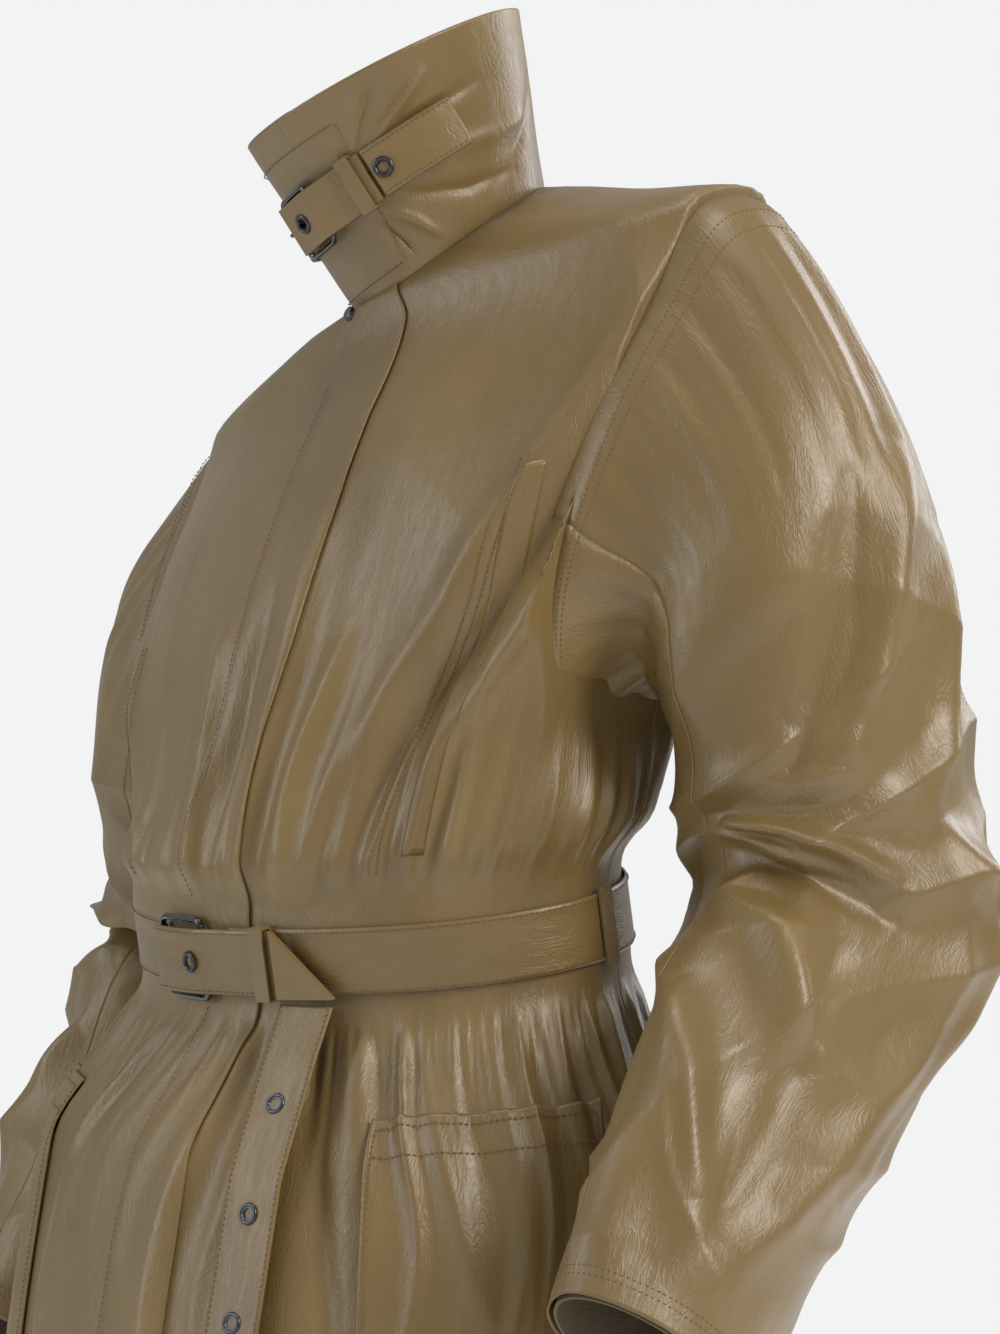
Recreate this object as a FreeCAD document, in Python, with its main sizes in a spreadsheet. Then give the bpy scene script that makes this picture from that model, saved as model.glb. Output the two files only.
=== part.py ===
"""Belted raincoat with a tall buckled collar, modelled as it hangs on a wearer.

Frame: millimetres, +Z up, the front of the coat faces -Y and the wearer's left is +X.
The origin is the middle of the neckline. Cloth panels are plain shells.
"""
import FreeCAD, Part
import math
import os

Vector = FreeCAD.Vector
Rotation = FreeCAD.Rotation
Placement = FreeCAD.Placement
X_AXIS = Vector(1, 0, 0)
Y_AXIS = Vector(0, 1, 0)
Z_AXIS = Vector(0, 0, 1)
BIG = 3000.0

doc = FreeCAD.newDocument("raincoat")
sheet = doc.addObject("Spreadsheet::Sheet", "dims")
SIZES = {}
PIECES = []


# ---------------------------------------------------------------- driving dimensions
def put(alias, value):
    """One driving dimension: a plain number in the sheet with a word for its alias."""
    SIZES[alias] = value
    row = len(SIZES)
    sheet.set("A%d" % row, alias)
    sheet.set("B%d" % row, str(value))
    sheet.setAlias("B%d" % row, alias)


DRIVING = {
    "cloth": 2.5, "lining": 1.2,
    "collar_height": 102.0, "collar_base_radius": 69.0, "collar_top_radius": 92.0,
    "belt_width": 40.0, "belt_plane_level": -415.0, "belt_gap": 0.6,
    "belt_buckle_height": 52.0, "belt_buckle_width": 48.0, "belt_rod_radius": 2.1,
    "belt_roller_radius": 2.7, "belt_tail_length": 290.0,
    "throat_width": 32.0, "throat_ring_radius": 86.0,
    "throat_buckle_height": 42.0, "throat_buckle_width": 36.0, "throat_rod_radius": 1.8,
    "throat_roller_radius": 2.4,
    "strap": 2.2, "eyelet_hole": 3.5, "eyelet_pitch": 61.0,
    "pin_clearance": 0.08, "prong_radius": 1.2,
    "pocket_depth": 8.0,
    "button_radius": 9.0, "button_count": 6.0, "cuff_facing": 45.0,
}
for alias, value in DRIVING.items():
    put(alias, value)

# Girth rings of the body: half width, half depth, middle (x, y, z), pitch and roll in degrees.
BODY_RINGS = {
    "neck": (69, 66, (0, 0, 0), 26.5, 22.8),
    "yoke": (150, 80, (0, 14, -18), 14, 17),
    "shoulder": (245, 88, (0, 22, -48), 8, 15.5),
    "chest": (262, 112, (0, -2, -150), 6, 14),
    "scye": (248, 122, (0, -22, -235), 5, 12),
    "underarm": (190, 124, (0, -40, -325), 6, 9.5),
    "waist_top": (182, 118, (0, -64, -392), 9.65, 0),
    "waist_low": (182, 118, (0, -56, -438), 9.65, 0),
    "hip": (232, 150, (-10, -68, -540), 6, 0),
    "thigh": (262, 172, (-10, -76, -690), 4, 0),
    "hem": (328, 218, (-6, -80, -1115), 2, 0),
}
for ring_name, ring in BODY_RINGS.items():
    put(ring_name + "_half_width", ring[0])
    put(ring_name + "_half_depth", ring[1])

# Each sleeve: armhole middle and outward normal, then the bends of the tube down to the cuff.
SLEEVES = {
    "left": {
        "armhole": (Vector(203, 25, -136), Vector(1, 0, -0.109)),
        "bends": [(Vector(264, 32, -226), Vector(0.62, 0.05, -0.78)),
                  (Vector(272, 48, -312), Vector(0.2, 0.1, -0.97))],
        "elbow": (Vector(275, 60, -400), Vector(0.06, -0.3, -0.95)),
        "forearm": (Vector(300, -58, -535), Vector(0.13, -0.64, -0.75)),
        "cuff": (Vector(318, -145, -640), Vector(0.1, -0.6, -0.78)),
    },
    "right": {
        "armhole": (Vector(-203, 20, -225), Vector(-1, 0, -0.15)),
        "bends": [(Vector(-262, 34, -306), Vector(-0.66, 0.1, -0.74)),
                  (Vector(-290, 62, -388), Vector(-0.3, 0.2, -0.93))],
        "elbow": (Vector(-315, 90, -460), Vector(-0.05, -0.25, -0.96)),
        "forearm": (Vector(-327, 15, -590), Vector(-0.06, -0.54, -0.84)),
        "cuff": (Vector(-338, -75, -715), Vector(-0.04, -0.5, -0.86)),
    },
}
# Half sizes of each sleeve ring: away from the body, and fore and aft.
SLEEVE_RADII = {"armhole": (150, 84), "bend_one": (95, 90), "bend_two": (73, 92),
                "elbow": (70, 97), "forearm": (58, 88), "cuff": (48, 70)}
for ring_name, radii in SLEEVE_RADII.items():
    put(ring_name + "_side", radii[0])
    put(ring_name + "_fore", radii[1])


# ---------------------------------------------------------------- making helpers
def add(kind, name, expressions=None, placement=None):
    made = doc.addObject(kind, name)
    for prop, expression in (expressions or {}).items():
        made.setExpression(prop, str(expression))
    if placement is not None:
        made.Placement = placement
    return made


def cut(name, base, tool):
    made = doc.addObject("Part::Cut", name)
    made.Base = base
    made.Tool = tool
    return made


def common(name, base, tool):
    made = doc.addObject("Part::Common", name)
    made.Base = base
    made.Tool = tool
    return made


def fuse(name, shapes):
    made = doc.addObject("Part::MultiFuse", name)
    made.Shapes = shapes
    return made


def group(name, shapes):
    made = doc.addObject("Part::Compound", name)
    made.Links = shapes
    return made


def piece(made, node):
    """Name a finished sub-part."""
    made.Label = node
    PIECES.append(made)
    return made


def turned(normal, along):
    """Rotation whose Z is the normal and whose X lies as near to along as it can."""
    z_dir = Vector(normal).normalize()
    x_dir = (along - z_dir * along.dot(z_dir)).normalize()
    return Rotation(x_dir, z_dir.cross(x_dir), z_dir, "ZXY")


def loft(name, rings):
    made = doc.addObject("Part::Loft", name)
    made.Sections = rings
    made.Solid = True
    made.Ruled = True
    return made


def half_space(name, point, normal):
    """A block that fills everything on the side of the plane that the normal points to."""
    rotation = turned(normal, X_AXIS if abs(normal.x) < abs(normal.z) + abs(normal.y) else Y_AXIS)
    corner = point + rotation.multVec(Vector(-BIG / 2, -BIG / 2, 0))
    made = add("Part::Box", name, placement=Placement(corner, rotation))
    made.Length = made.Width = made.Height = BIG
    return made


def block(name, low, high):
    """An upright block between two corners."""
    made = add("Part::Box", name, placement=Placement(low, Rotation()))
    made.Length, made.Width, made.Height = high.x - low.x, high.y - low.y, high.z - low.z
    return made


def rod(name, place, radius, start, end):
    """A round bar between two points of a frame; radius is an expression or a number."""
    axis = end - start
    turn = Rotation(Z_AXIS, axis)
    made = add("Part::Cylinder", name, {"Radius": radius}, place.multiply(Placement(start, turn)))
    made.Height = axis.Length
    return made


def body_loft(name, first, last, inset):
    """The body's closed form between two named rings, drawn in by an inset."""
    names = list(BODY_RINGS)
    rings = []
    for ring_name in names[names.index(first):names.index(last) + 1]:
        middle, pitch, roll = BODY_RINGS[ring_name][2:]
        rotation = Rotation(Y_AXIS, -roll).multiply(Rotation(X_AXIS, pitch))
        rings.append(add("Part::Ellipse", "%s_%s" % (name, ring_name), {
            "MajorRadius": "dims.%s_half_width - (%s)" % (ring_name, inset),
            "MinorRadius": "dims.%s_half_depth - (%s)" % (ring_name, inset),
        }, Placement(Vector(*middle), rotation)))
    return loft(name, rings)


def armhole_tool(name, point, normal):
    """Block outside an armhole's plane, reaching just past the armhole's foot."""
    rotation = turned(normal, Z_AXIS)
    foot = SIZES["armhole_side"] + 12
    corner = point + rotation.multVec(Vector(-foot, -300, 0))
    made = add("Part::Box", name, placement=Placement(corner, rotation))
    made.Length, made.Width, made.Height = 2 * foot, 600, 400
    return made


def side_half(name, forward):
    """Everything in front of, or behind, the sloping side seams."""
    normal = Vector(0, -1, 0.08) if forward else Vector(0, 1, -0.08)
    return half_space(name, Vector(0, 30, 0), normal)


def ring_arc(ring, inset, start, end):
    """Part of one girth ring, as a smooth curve between two angles."""
    key, middle, direction, along = ring
    frame = turned(direction, along)
    side, fore = SIZES[key + "_side"] - inset, SIZES[key + "_fore"] - inset
    count = 13
    points = []
    for index in range(count):
        angle = math.radians(start + (end - start) * index / (count - 1))
        points.append(middle + frame.multVec(Vector(side * math.cos(angle),
                                                    fore * math.sin(angle), 0)))
    curve = Part.BSplineCurve()
    curve.interpolate(points)
    return curve.toShape()


def ring_wall(rings, outer_inset, inner_inset, start, end):
    """A panel between two angles of a row of rings: ruled skins, seam and end faces."""
    faces = []
    outer = [ring_arc(ring, outer_inset, start, end) for ring in rings]
    inner = [ring_arc(ring, inner_inset, start, end) for ring in rings]
    for index in range(len(rings) - 1):
        faces.append(Part.makeRuledSurface(outer[index], outer[index + 1]))
        faces.append(Part.makeRuledSurface(inner[index], inner[index + 1]))
    for corner in (0, -1):
        rungs = [Part.makeLine(skin.Vertexes[corner].Point, core.Vertexes[corner].Point)
                 for skin, core in zip(outer, inner)]
        for index in range(len(rings) - 1):
            faces.append(Part.makeRuledSurface(rungs[index], rungs[index + 1]))
    for index in (0, -1):
        faces.append(Part.makeRuledSurface(outer[index], inner[index]))
    skin = Part.makeShell(faces)
    skin.sewShape()
    solid = Part.makeSolid(skin)
    if solid.Volume < 0:
        solid.reverse()
    return solid


def wall_piece(node, solids):
    made = doc.addObject("Part::Feature", node.replace("-", "_"))
    made.Shape = solids[0] if len(solids) == 1 else Part.makeCompound(solids)
    made.Placement = Placement()
    piece(made, node)


# ---------------------------------------------------------------- body panels
def body_panels():
    """Four cloth panels: the wearer's right front laps over the left front."""
    outer = body_loft("body_outer", "neck", "hem", "0")
    inner = body_loft("body_inner", "neck", "hem", "dims.cloth")
    edge = Vector(28, 0, 0)
    spine = Vector(0, 0, 0)
    for node, side, forward, start, outward in (
            ("right_front", "right", True, edge, -X_AXIS),
            ("left_front", "left", True, edge + Vector(0.6, 0, 0), X_AXIS),
            ("right_back", "right", False, spine, -X_AXIS),
            ("left_back", "left", False, spine, X_AXIS)):
        tool = armhole_tool(node + "_armhole", *SLEEVES[side]["armhole"])
        half = side_half(node + "_side", forward)
        wedge = half_space(node + "_edge", start, outward)
        doc.recompute()
        skins = [loft_solid.Shape.common(wedge.Shape).common(half.Shape).cut(tool.Shape)
                 for loft_solid in (outer, inner)]
        wall_piece(node, [skins[0].cut(skins[1])])


def front_strip(name, outer_inset, inner_inset, low_x, high_x, top, bottom):
    """A layer of the body that lies down the front between two upright planes."""
    faces = []
    for face, inset in (("outer", outer_inset), ("inner", inner_inset)):
        label = "%s_%s" % (name, face)
        window = block(label + "_window", Vector(low_x, -BIG / 2, bottom), Vector(high_x, -25, top))
        faces.append(common(label + "_slice", body_loft(label, "neck", "hem", inset), window))
    return cut(name, faces[0], faces[1])


def fly():
    """Hidden button closure: buttons, the facing with their holes, and the stand they sit on."""
    top, bottom = -75, -1000
    facing = front_strip("fly_facing_strip", "6", "6 + dims.lining", -24, 26, top, bottom)
    stand = front_strip("button_stand_strip", "8.4", "8.4 + dims.cloth", -30, 60, top, bottom)
    buttons = []
    holes = []
    outline = body_loft("button_seat", "neck", "hem", "0")
    doc.recompute()
    count = int(SIZES["button_count"])
    for index in range(count):
        level = -120 - index * 150
        depths = []
        for height in (level - 9, level + 9):
            ray = Part.makeLine(Vector(2, -BIG / 4, height), Vector(2, -25, height))
            depths.append(min(vertex.Point.y for vertex in ray.common(outline.Shape).Vertexes))
        front_y = sum(depths) / 2
        lean = -math.atan2(depths[1] - depths[0], 18)
        inward = Vector(0, math.cos(lean), math.sin(lean))
        seat = Vector(2, front_y, level)
        place = Placement()
        disc = rod("button_disc_%d" % index, place, "dims.button_radius",
                   seat + inward * 3.4, seat + inward * 5.0)
        shank = rod("button_shank_%d" % index, place, 2, seat + inward * 4.8, seat + inward * 7.8)
        buttons.append(fuse("button_%d" % index, [disc, shank]))
        holes.append(rod("buttonhole_%d" % index, place, 4.0, seat, seat + inward * 8.2))
    piece(cut("fly_facing_cut", facing, fuse("buttonholes", holes)), "fly_facing")
    piece(stand, "button_stand")
    piece(group("fly_button_group", buttons), "fly_buttons")


def chest_welts():
    """Long upright welts of the hand openings, one on each front."""
    for side, low_x, high_x, top in (("left", 152, 172, -190), ("right", -172, -152, -235)):
        strip_name = "%s_welt_strip" % side
        welt = front_strip(strip_name, "-0.3 - dims.cloth", "-0.3", low_x, high_x, top, top - 150)
        piece(welt, "%s_chest_welt" % side)


def skirt_ring(label, upper, lower, mix):
    """A ring on the skirt's surface, part of the way from one named ring to the next."""
    top, low = BODY_RINGS[upper], BODY_RINGS[lower]
    SIZES[label + "_side"] = top[0] * (1 - mix) + low[0] * mix
    SIZES[label + "_fore"] = top[1] * (1 - mix) + low[1] * mix
    middle = Vector(*top[2]) * (1 - mix) + Vector(*low[2]) * mix
    pitch = top[3] * (1 - mix) + low[3] * mix
    return label, middle, Rotation(X_AXIS, pitch).multVec(-Z_AXIS), X_AXIS


def pockets():
    """Patch pockets with a shallow gusset, open along the top edge."""
    rings = [skirt_ring("pocket_top", "waist_low", "hip", 0.69),
             skirt_ring("pocket_upper", "waist_low", "hip", 1.0),
             skirt_ring("pocket_lower", "hip", "thigh", 1.0),
             skirt_ring("pocket_floor", "thigh", "hem", 0.10)]
    base = [rings[-1], skirt_ring("pocket_base", "thigh", "hem", 0.106)]
    seat, depth, cloth = -0.3, SIZES["pocket_depth"], SIZES["cloth"]
    skin = seat - depth - cloth
    for side, front, rear in (("left", 52, 4), ("right", 128, 176)):
        step = 1.0 if rear > front else -1.0
        edges = [sorted((front, front + step)), sorted((rear - step, rear))]
        middle = sorted((front + 1.05 * step, rear - 1.05 * step))
        solids = [ring_wall(rings, skin, seat, *edge) for edge in edges]
        solids.append(ring_wall(rings, skin, skin + cloth, *middle))
        solids.append(ring_wall([(r[0], r[1] - Z_AXIS * 0.05, r[2], r[3]) for r in base], skin,
                                seat, *sorted((front, rear))))
        wall_piece(side + "_pocket", solids)


# ---------------------------------------------------------------- collar
NECK_TURN = Rotation(Y_AXIS, -22.8).multiply(Rotation(X_AXIS, 26.5))
COLLAR_TOP_TURN = Rotation(Y_AXIS, -18.8).multiply(Rotation(X_AXIS, 19.8))


def collar_layer(name, outer_inset, inner_inset):
    """One layer of the funnel collar, from the neckline to the top edge."""
    solids = []
    for side, inset in (("outer", outer_inset), ("inner", inner_inset)):
        rings = []
        for level, alias, turn in ((Vector(0, -0.4, 1.0), "base", NECK_TURN),
                                   (Vector(-8, -48, SIZES["collar_height"]), "top",
                                    COLLAR_TOP_TURN)):
            radius = "dims.collar_%s_radius - (%s)" % (alias, inset)
            rings.append(add("Part::Ellipse", "%s_%s_%s" % (name, side, alias),
                             {"MajorRadius": radius, "MinorRadius": radius},
                             Placement(level, turn)))
        solids.append(loft("%s_%s" % (name, side), rings))
    return cut(name + "_wall", solids[0], solids[1])


def collar():
    """Outer collar open at the front, the left end lapped under it, and the lining."""
    outer = collar_layer("collar_cloth", "0", "dims.cloth")
    slit = block("collar_slit", Vector(8, -BIG / 2, -BIG / 2), Vector(10, -20, BIG / 2))
    piece(cut("collar_open", outer, slit), "collar_outer")
    under = collar_layer("collar_under", "0.4 + dims.cloth", "0.4 + 2 * dims.cloth")
    window = block("collar_under_window", Vector(-45, -BIG / 2, -BIG / 2), Vector(30, -20, BIG / 2))
    piece(common("collar_underlap_cut", under, window), "collar_underlap")
    piece(collar_layer("collar_inside", "6.2", "6.2 + dims.lining"), "collar_lining")
    stud_place = Placement(Vector(-22, -64, -38), Rotation(Z_AXIS, Vector(-0.2, -0.9, -0.2)))
    stud = add("Part::Cylinder", "neck_stud_disc", placement=stud_place.multiply(
        Placement(Vector(0, 0, 6), Rotation())))
    stud.Radius, stud.Height = 5.0, 2.4
    piece(stud, "neck_stud")


def hanger_loop():
    """Cloth loop sewn inside the back of the neck."""
    place = Placement(Vector(0, 46, 22), Rotation(Y_AXIS, 90))
    ring = add("Part::Torus", "hanger_ring", placement=Placement(Vector(0, 41, 22), Rotation()))
    ring.Radius1, ring.Radius2 = 9.0, 1.6
    bar = rod("hanger_bar", place, 1.6, Vector(0, 0, -22), Vector(0, 0, 22))
    piece(fuse("hanger_loop_fuse", [ring, bar]), "hanger_loop")


# ---------------------------------------------------------------- sleeves
def sleeve_rings(sleeve):
    """Rings down one sleeve; the tube turns from across the armhole to along the arm."""
    point, normal = sleeve["armhole"]
    side = Vector(1, 0, 0) if normal.x > 0 else Vector(-1, 0, 0)
    stand_off = Vector(normal).normalize()
    plan = [("armhole", point + stand_off, normal, Z_AXIS)]
    plan.append(("bend_one",) + sleeve["bends"][0] + (side + Z_AXIS,))
    plan.append(("bend_two",) + sleeve["bends"][1] + (side + Z_AXIS * 0.2,))
    for key in ("elbow", "forearm", "cuff"):
        plan.append((key,) + sleeve[key] + (side,))
    return plan


def sleeves():
    """Two-piece sleeves with a lining and a turned-in facing at the cuff."""
    cloth, thin = SIZES["cloth"], SIZES["lining"]
    for side, sleeve in SLEEVES.items():
        rings = sleeve_rings(sleeve)
        wall_piece(side + "_sleeve_top", [ring_wall(rings, 0, cloth, -100, 100)])
        wall_piece(side + "_sleeve_under", [ring_wall(rings, 0, cloth, 100, 260)])
        deep = cloth + 3.2
        wall_piece(side + "_sleeve_lining", [
            ring_wall(rings, deep, deep + thin, start, start + 180) for start in (-90, 90)])
        near, last = rings[-2], rings[-1]
        mix = 1 - SIZES["cuff_facing"] / (last[1] - near[1]).Length
        start_ring = ("facing", near[1] * (1 - mix) + last[1] * mix,
                      near[2] * (1 - mix) + last[2] * mix, last[3])
        for way in ("side", "fore"):
            SIZES["facing_" + way] = (SIZES["forearm_" + way] * (1 - mix)
                                      + SIZES["cuff_" + way] * mix)
        band = [start_ring, last]
        wall_piece(side + "_cuff_facing", [
            ring_wall(band, cloth + 0.5, cloth + 2.3, start, start + 180)
            for start in (-90, 90)])


# ---------------------------------------------------------------- straps and buckles
def strip(name, place, path, width, thickness):
    """A strap with a bent path in its frame's X-Z plane; bends are rounded by their own radius."""
    parts = []
    for index in range(len(path) - 1):
        start, end = path[index], path[index + 1]
        run = end - start
        turn = Rotation(Y_AXIS, -math.degrees(math.atan2(run.z, run.x)))
        corner = start + turn.multVec(Vector(0, 0, -SIZES[thickness] / 2))
        corner = corner + Vector(0, -SIZES[width] / 2, 0)
        slab = add("Part::Box", "%s_run_%d" % (name, index),
                   {"Width": "dims." + width, "Height": "dims." + thickness},
                   place.multiply(Placement(corner, turn)))
        slab.Length = run.Length
        parts.append(slab)
        if index:
            bend = rod("%s_bend_%d" % (name, index), place, "dims.%s / 2" % thickness,
                       start + Vector(0, -SIZES[width] / 2, 0),
                       start + Vector(0, SIZES[width] / 2, 0))
            parts.append(bend)
    return fuse(name, parts) if len(parts) > 1 else parts[0]


def buckle(prefix, place):
    """Rectangular frame, its roller and its prong, in a frame whose X runs from roller to bar."""
    height, width = SIZES[prefix + "_buckle_height"], SIZES[prefix + "_buckle_width"]
    radius, corner = SIZES[prefix + "_rod_radius"], 5.0
    rod_expression = "dims.%s_rod_radius" % prefix
    half_w, half_h = width / 2 - radius, height / 2 - radius
    bars = []
    for sign in (-1, 1):
        bars.append(rod("%s_side_%d" % (prefix, sign), place, rod_expression,
                        Vector(sign * half_w, corner - half_h, 0),
                        Vector(sign * half_w, half_h - corner, 0)))
        bars.append(rod("%s_rail_%d" % (prefix, sign), place, rod_expression,
                        Vector(corner - half_w, sign * half_h, 0),
                        Vector(half_w - corner, sign * half_h, 0)))
    corners = ((1, 1, 0), (-1, 1, 90), (-1, -1, 180), (1, -1, 270))
    for index, (x_sign, y_sign, angle) in enumerate(corners):
        middle = Vector(x_sign * (half_w - corner), y_sign * (half_h - corner), 0)
        bend = add("Part::Torus", "%s_corner_%d" % (prefix, index), {"Radius2": rod_expression},
                   place.multiply(Placement(middle, Rotation(Z_AXIS, angle))))
        bend.Radius1, bend.Angle3 = corner, 90
        bars.append(bend)
    piece(fuse(prefix + "_frame_fuse", bars), prefix + "_buckle_frame")

    reach = half_h - corner - 0.5
    tube = rod(prefix + "_roller_tube", place, "dims.%s_roller_radius" % prefix,
               Vector(-half_w, -reach, 0), Vector(-half_w, reach, 0))
    bore = rod(prefix + "_roller_bore", place, rod_expression + " + dims.pin_clearance",
               Vector(-half_w, -reach - 1, 0), Vector(-half_w, reach + 1, 0))
    piece(cut(prefix + "_roller_cut", tube, bore), prefix + "_buckle_roller")

    lift = SIZES[prefix + "_roller_radius"] + SIZES["prong_radius"] + 0.35
    hub = rod(prefix + "_prong_hub", place, rod_expression + " + 1.3",
              Vector(half_w, -2.4, 0), Vector(half_w, 2.4, 0))
    needle = rod(prefix + "_prong_needle", place, "dims.prong_radius",
                 Vector(half_w - 1.5, 0, lift * 0.4), Vector(-half_w - 1.5, 0, lift))
    hook = rod(prefix + "_prong_hook", place, "dims.prong_radius",
               Vector(-half_w - 1.5, 0, lift), Vector(-half_w - 4.6, 0, lift - 2.2))
    tip = add("Part::Sphere", prefix + "_prong_tip", {"Radius": "dims.prong_radius"},
              place.multiply(Placement(Vector(-half_w - 4.6, 0, lift - 2.2), Rotation())))
    knee = add("Part::Sphere", prefix + "_prong_knee", {"Radius": "dims.prong_radius"},
               place.multiply(Placement(Vector(-half_w - 1.5, 0, lift), Rotation())))
    prong = fuse(prefix + "_prong_fuse", [hub, needle, hook, tip, knee])
    eye = rod(prefix + "_prong_eye", place, rod_expression + " + dims.pin_clearance",
              Vector(half_w, -4, 0), Vector(half_w, 4, 0))
    piece(cut(prefix + "_prong_cut", prong, eye), prefix + "_buckle_prong")
    return half_w


def chape(prefix, place, half_w, strap_width):
    """Strap end folded round the buckle's fixed bar, slotted for the prong."""
    rod_expression = "dims.%s_rod_radius" % prefix
    half = SIZES[strap_width] / 2 - 2
    loop = rod(prefix + "_chape_loop", place, rod_expression + " + 1.3",
               Vector(half_w, -half, 0), Vector(half_w, half, 0))
    bore = rod(prefix + "_chape_bore", place, rod_expression + " + 0.15",
               Vector(half_w, -half - 1, 0), Vector(half_w, half + 1, 0))
    depth = SIZES[prefix + "_rod_radius"] + 1.3
    slot = add("Part::Box", prefix + "_chape_slot",
               placement=place.multiply(Placement(Vector(half_w - 8, -3.0, -depth - 1),
                                                  Rotation())))
    slot.Length, slot.Width, slot.Height = 16, 6.0, 2 * depth + 2
    open_loop = cut(prefix + "_chape_tube", loop, bore)
    piece(cut(prefix + "_chape_cut", open_loop, slot), prefix + "_chape")


def eyelet(name, place):
    """Rolled metal eyelet: a rounded flange on the face with its barrel through the strap."""
    flange = add("Part::Torus", name + "_flange", placement=place.multiply(
        Placement(Vector(0, 0, 0.2), Rotation())))
    flange.Radius1, flange.Radius2 = 5.2, 1.3
    barrel = rod(name + "_barrel", place, "dims.eyelet_hole + 0.7", Vector(0, 0, -2.2),
                 Vector(0, 0, 0.6))
    hole = rod(name + "_hole", place, "dims.eyelet_hole", Vector(0, 0, -3), Vector(0, 0, 3))
    seat = half_space(name + "_seat", place.multVec(Vector(0, 0, 0.05)),
                      place.Rotation.multVec(Vector(0, 0, 1)))
    top = common(name + "_top", flange, seat)
    return cut(name, fuse(name + "_solid", [top, barrel]), hole)


def eyelet_hole(name, place):
    return rod(name, place, "dims.eyelet_hole + 0.9", Vector(0, 0, -5), Vector(0, 0, 5))


def keeper(prefix, place, middle, turn, width, inner_low, inner_high, length):
    """Flat cloth loop round both layers of a strap."""
    half = SIZES[width] / 2 + 0.6
    wall = 1.6
    outer = add("Part::Box", prefix + "_keeper_outer", placement=place.multiply(Placement(
        middle, turn)).multiply(Placement(Vector(-length / 2, -half - wall, inner_low - wall),
                                          Rotation())))
    outer.Length, outer.Width = length, 2 * (half + wall)
    outer.Height = inner_high - inner_low + 2 * wall
    inner = add("Part::Box", prefix + "_keeper_inner", placement=place.multiply(Placement(
        middle, turn)).multiply(Placement(Vector(-length, -half, inner_low), Rotation())))
    inner.Length, inner.Width, inner.Height = 2 * length, 2 * half, inner_high - inner_low
    piece(cut(prefix + "_keeper_cut", outer, inner), prefix + "_keeper")


# ---------------------------------------------------------------- waist belt
BELT_MIDDLE = Vector(0, -60, SIZES["belt_plane_level"])
BELT_PITCH = 9.65
BELT_HALF_WIDTH, BELT_HALF_DEPTH = 182.0, 118.0
# Front frame of the belt: X to the wearer's left, Y up the belt, Z out of the coat's front.
BELT_FRONT = Placement(BELT_MIDDLE, Rotation(X_AXIS, BELT_PITCH).multiply(Rotation(X_AXIS, 90)))
BUCKLE_X = -38.0


def belt_face(x_offset, stand_off):
    """Point of the belt's curved path at one offset along X, a stand-off out from the coat."""
    slope = math.sqrt(1 - (x_offset / BELT_HALF_WIDTH) ** 2)
    return Vector(x_offset, 0, BELT_HALF_DEPTH * slope + stand_off)


def belt_ring():
    """Base layer of the belt, all the way round from the roller to the fixed bar."""
    turn = Rotation(X_AXIS, BELT_PITCH)
    rings = {}
    for side, inset in (("outer", "-dims.belt_gap - dims.strap"), ("inner", "-dims.belt_gap")):
        rings[side] = []
        for sign in (-1, 1):
            level = BELT_MIDDLE + turn.multVec(Vector(0, 0, sign * SIZES["belt_width"] / 2))
            rings[side].append(add("Part::Ellipse", "belt_%s_%d" % (side, sign), {
                "MajorRadius": "dims.waist_top_half_width - (%s)" % inset,
                "MinorRadius": "dims.waist_top_half_depth - (%s)" % inset,
            }, Placement(level, turn)))
    ring = cut("belt_ring", loft("belt_outer_loft", rings["outer"]),
               loft("belt_inner_loft", rings["inner"]))
    window = block("belt_window", Vector(BUCKLE_X - 20.2, -400, -600),
                   Vector(BUCKLE_X + 17.5, -90, -300))
    piece(cut("belt_strap_cut", ring, window), "belt_strap")


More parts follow.
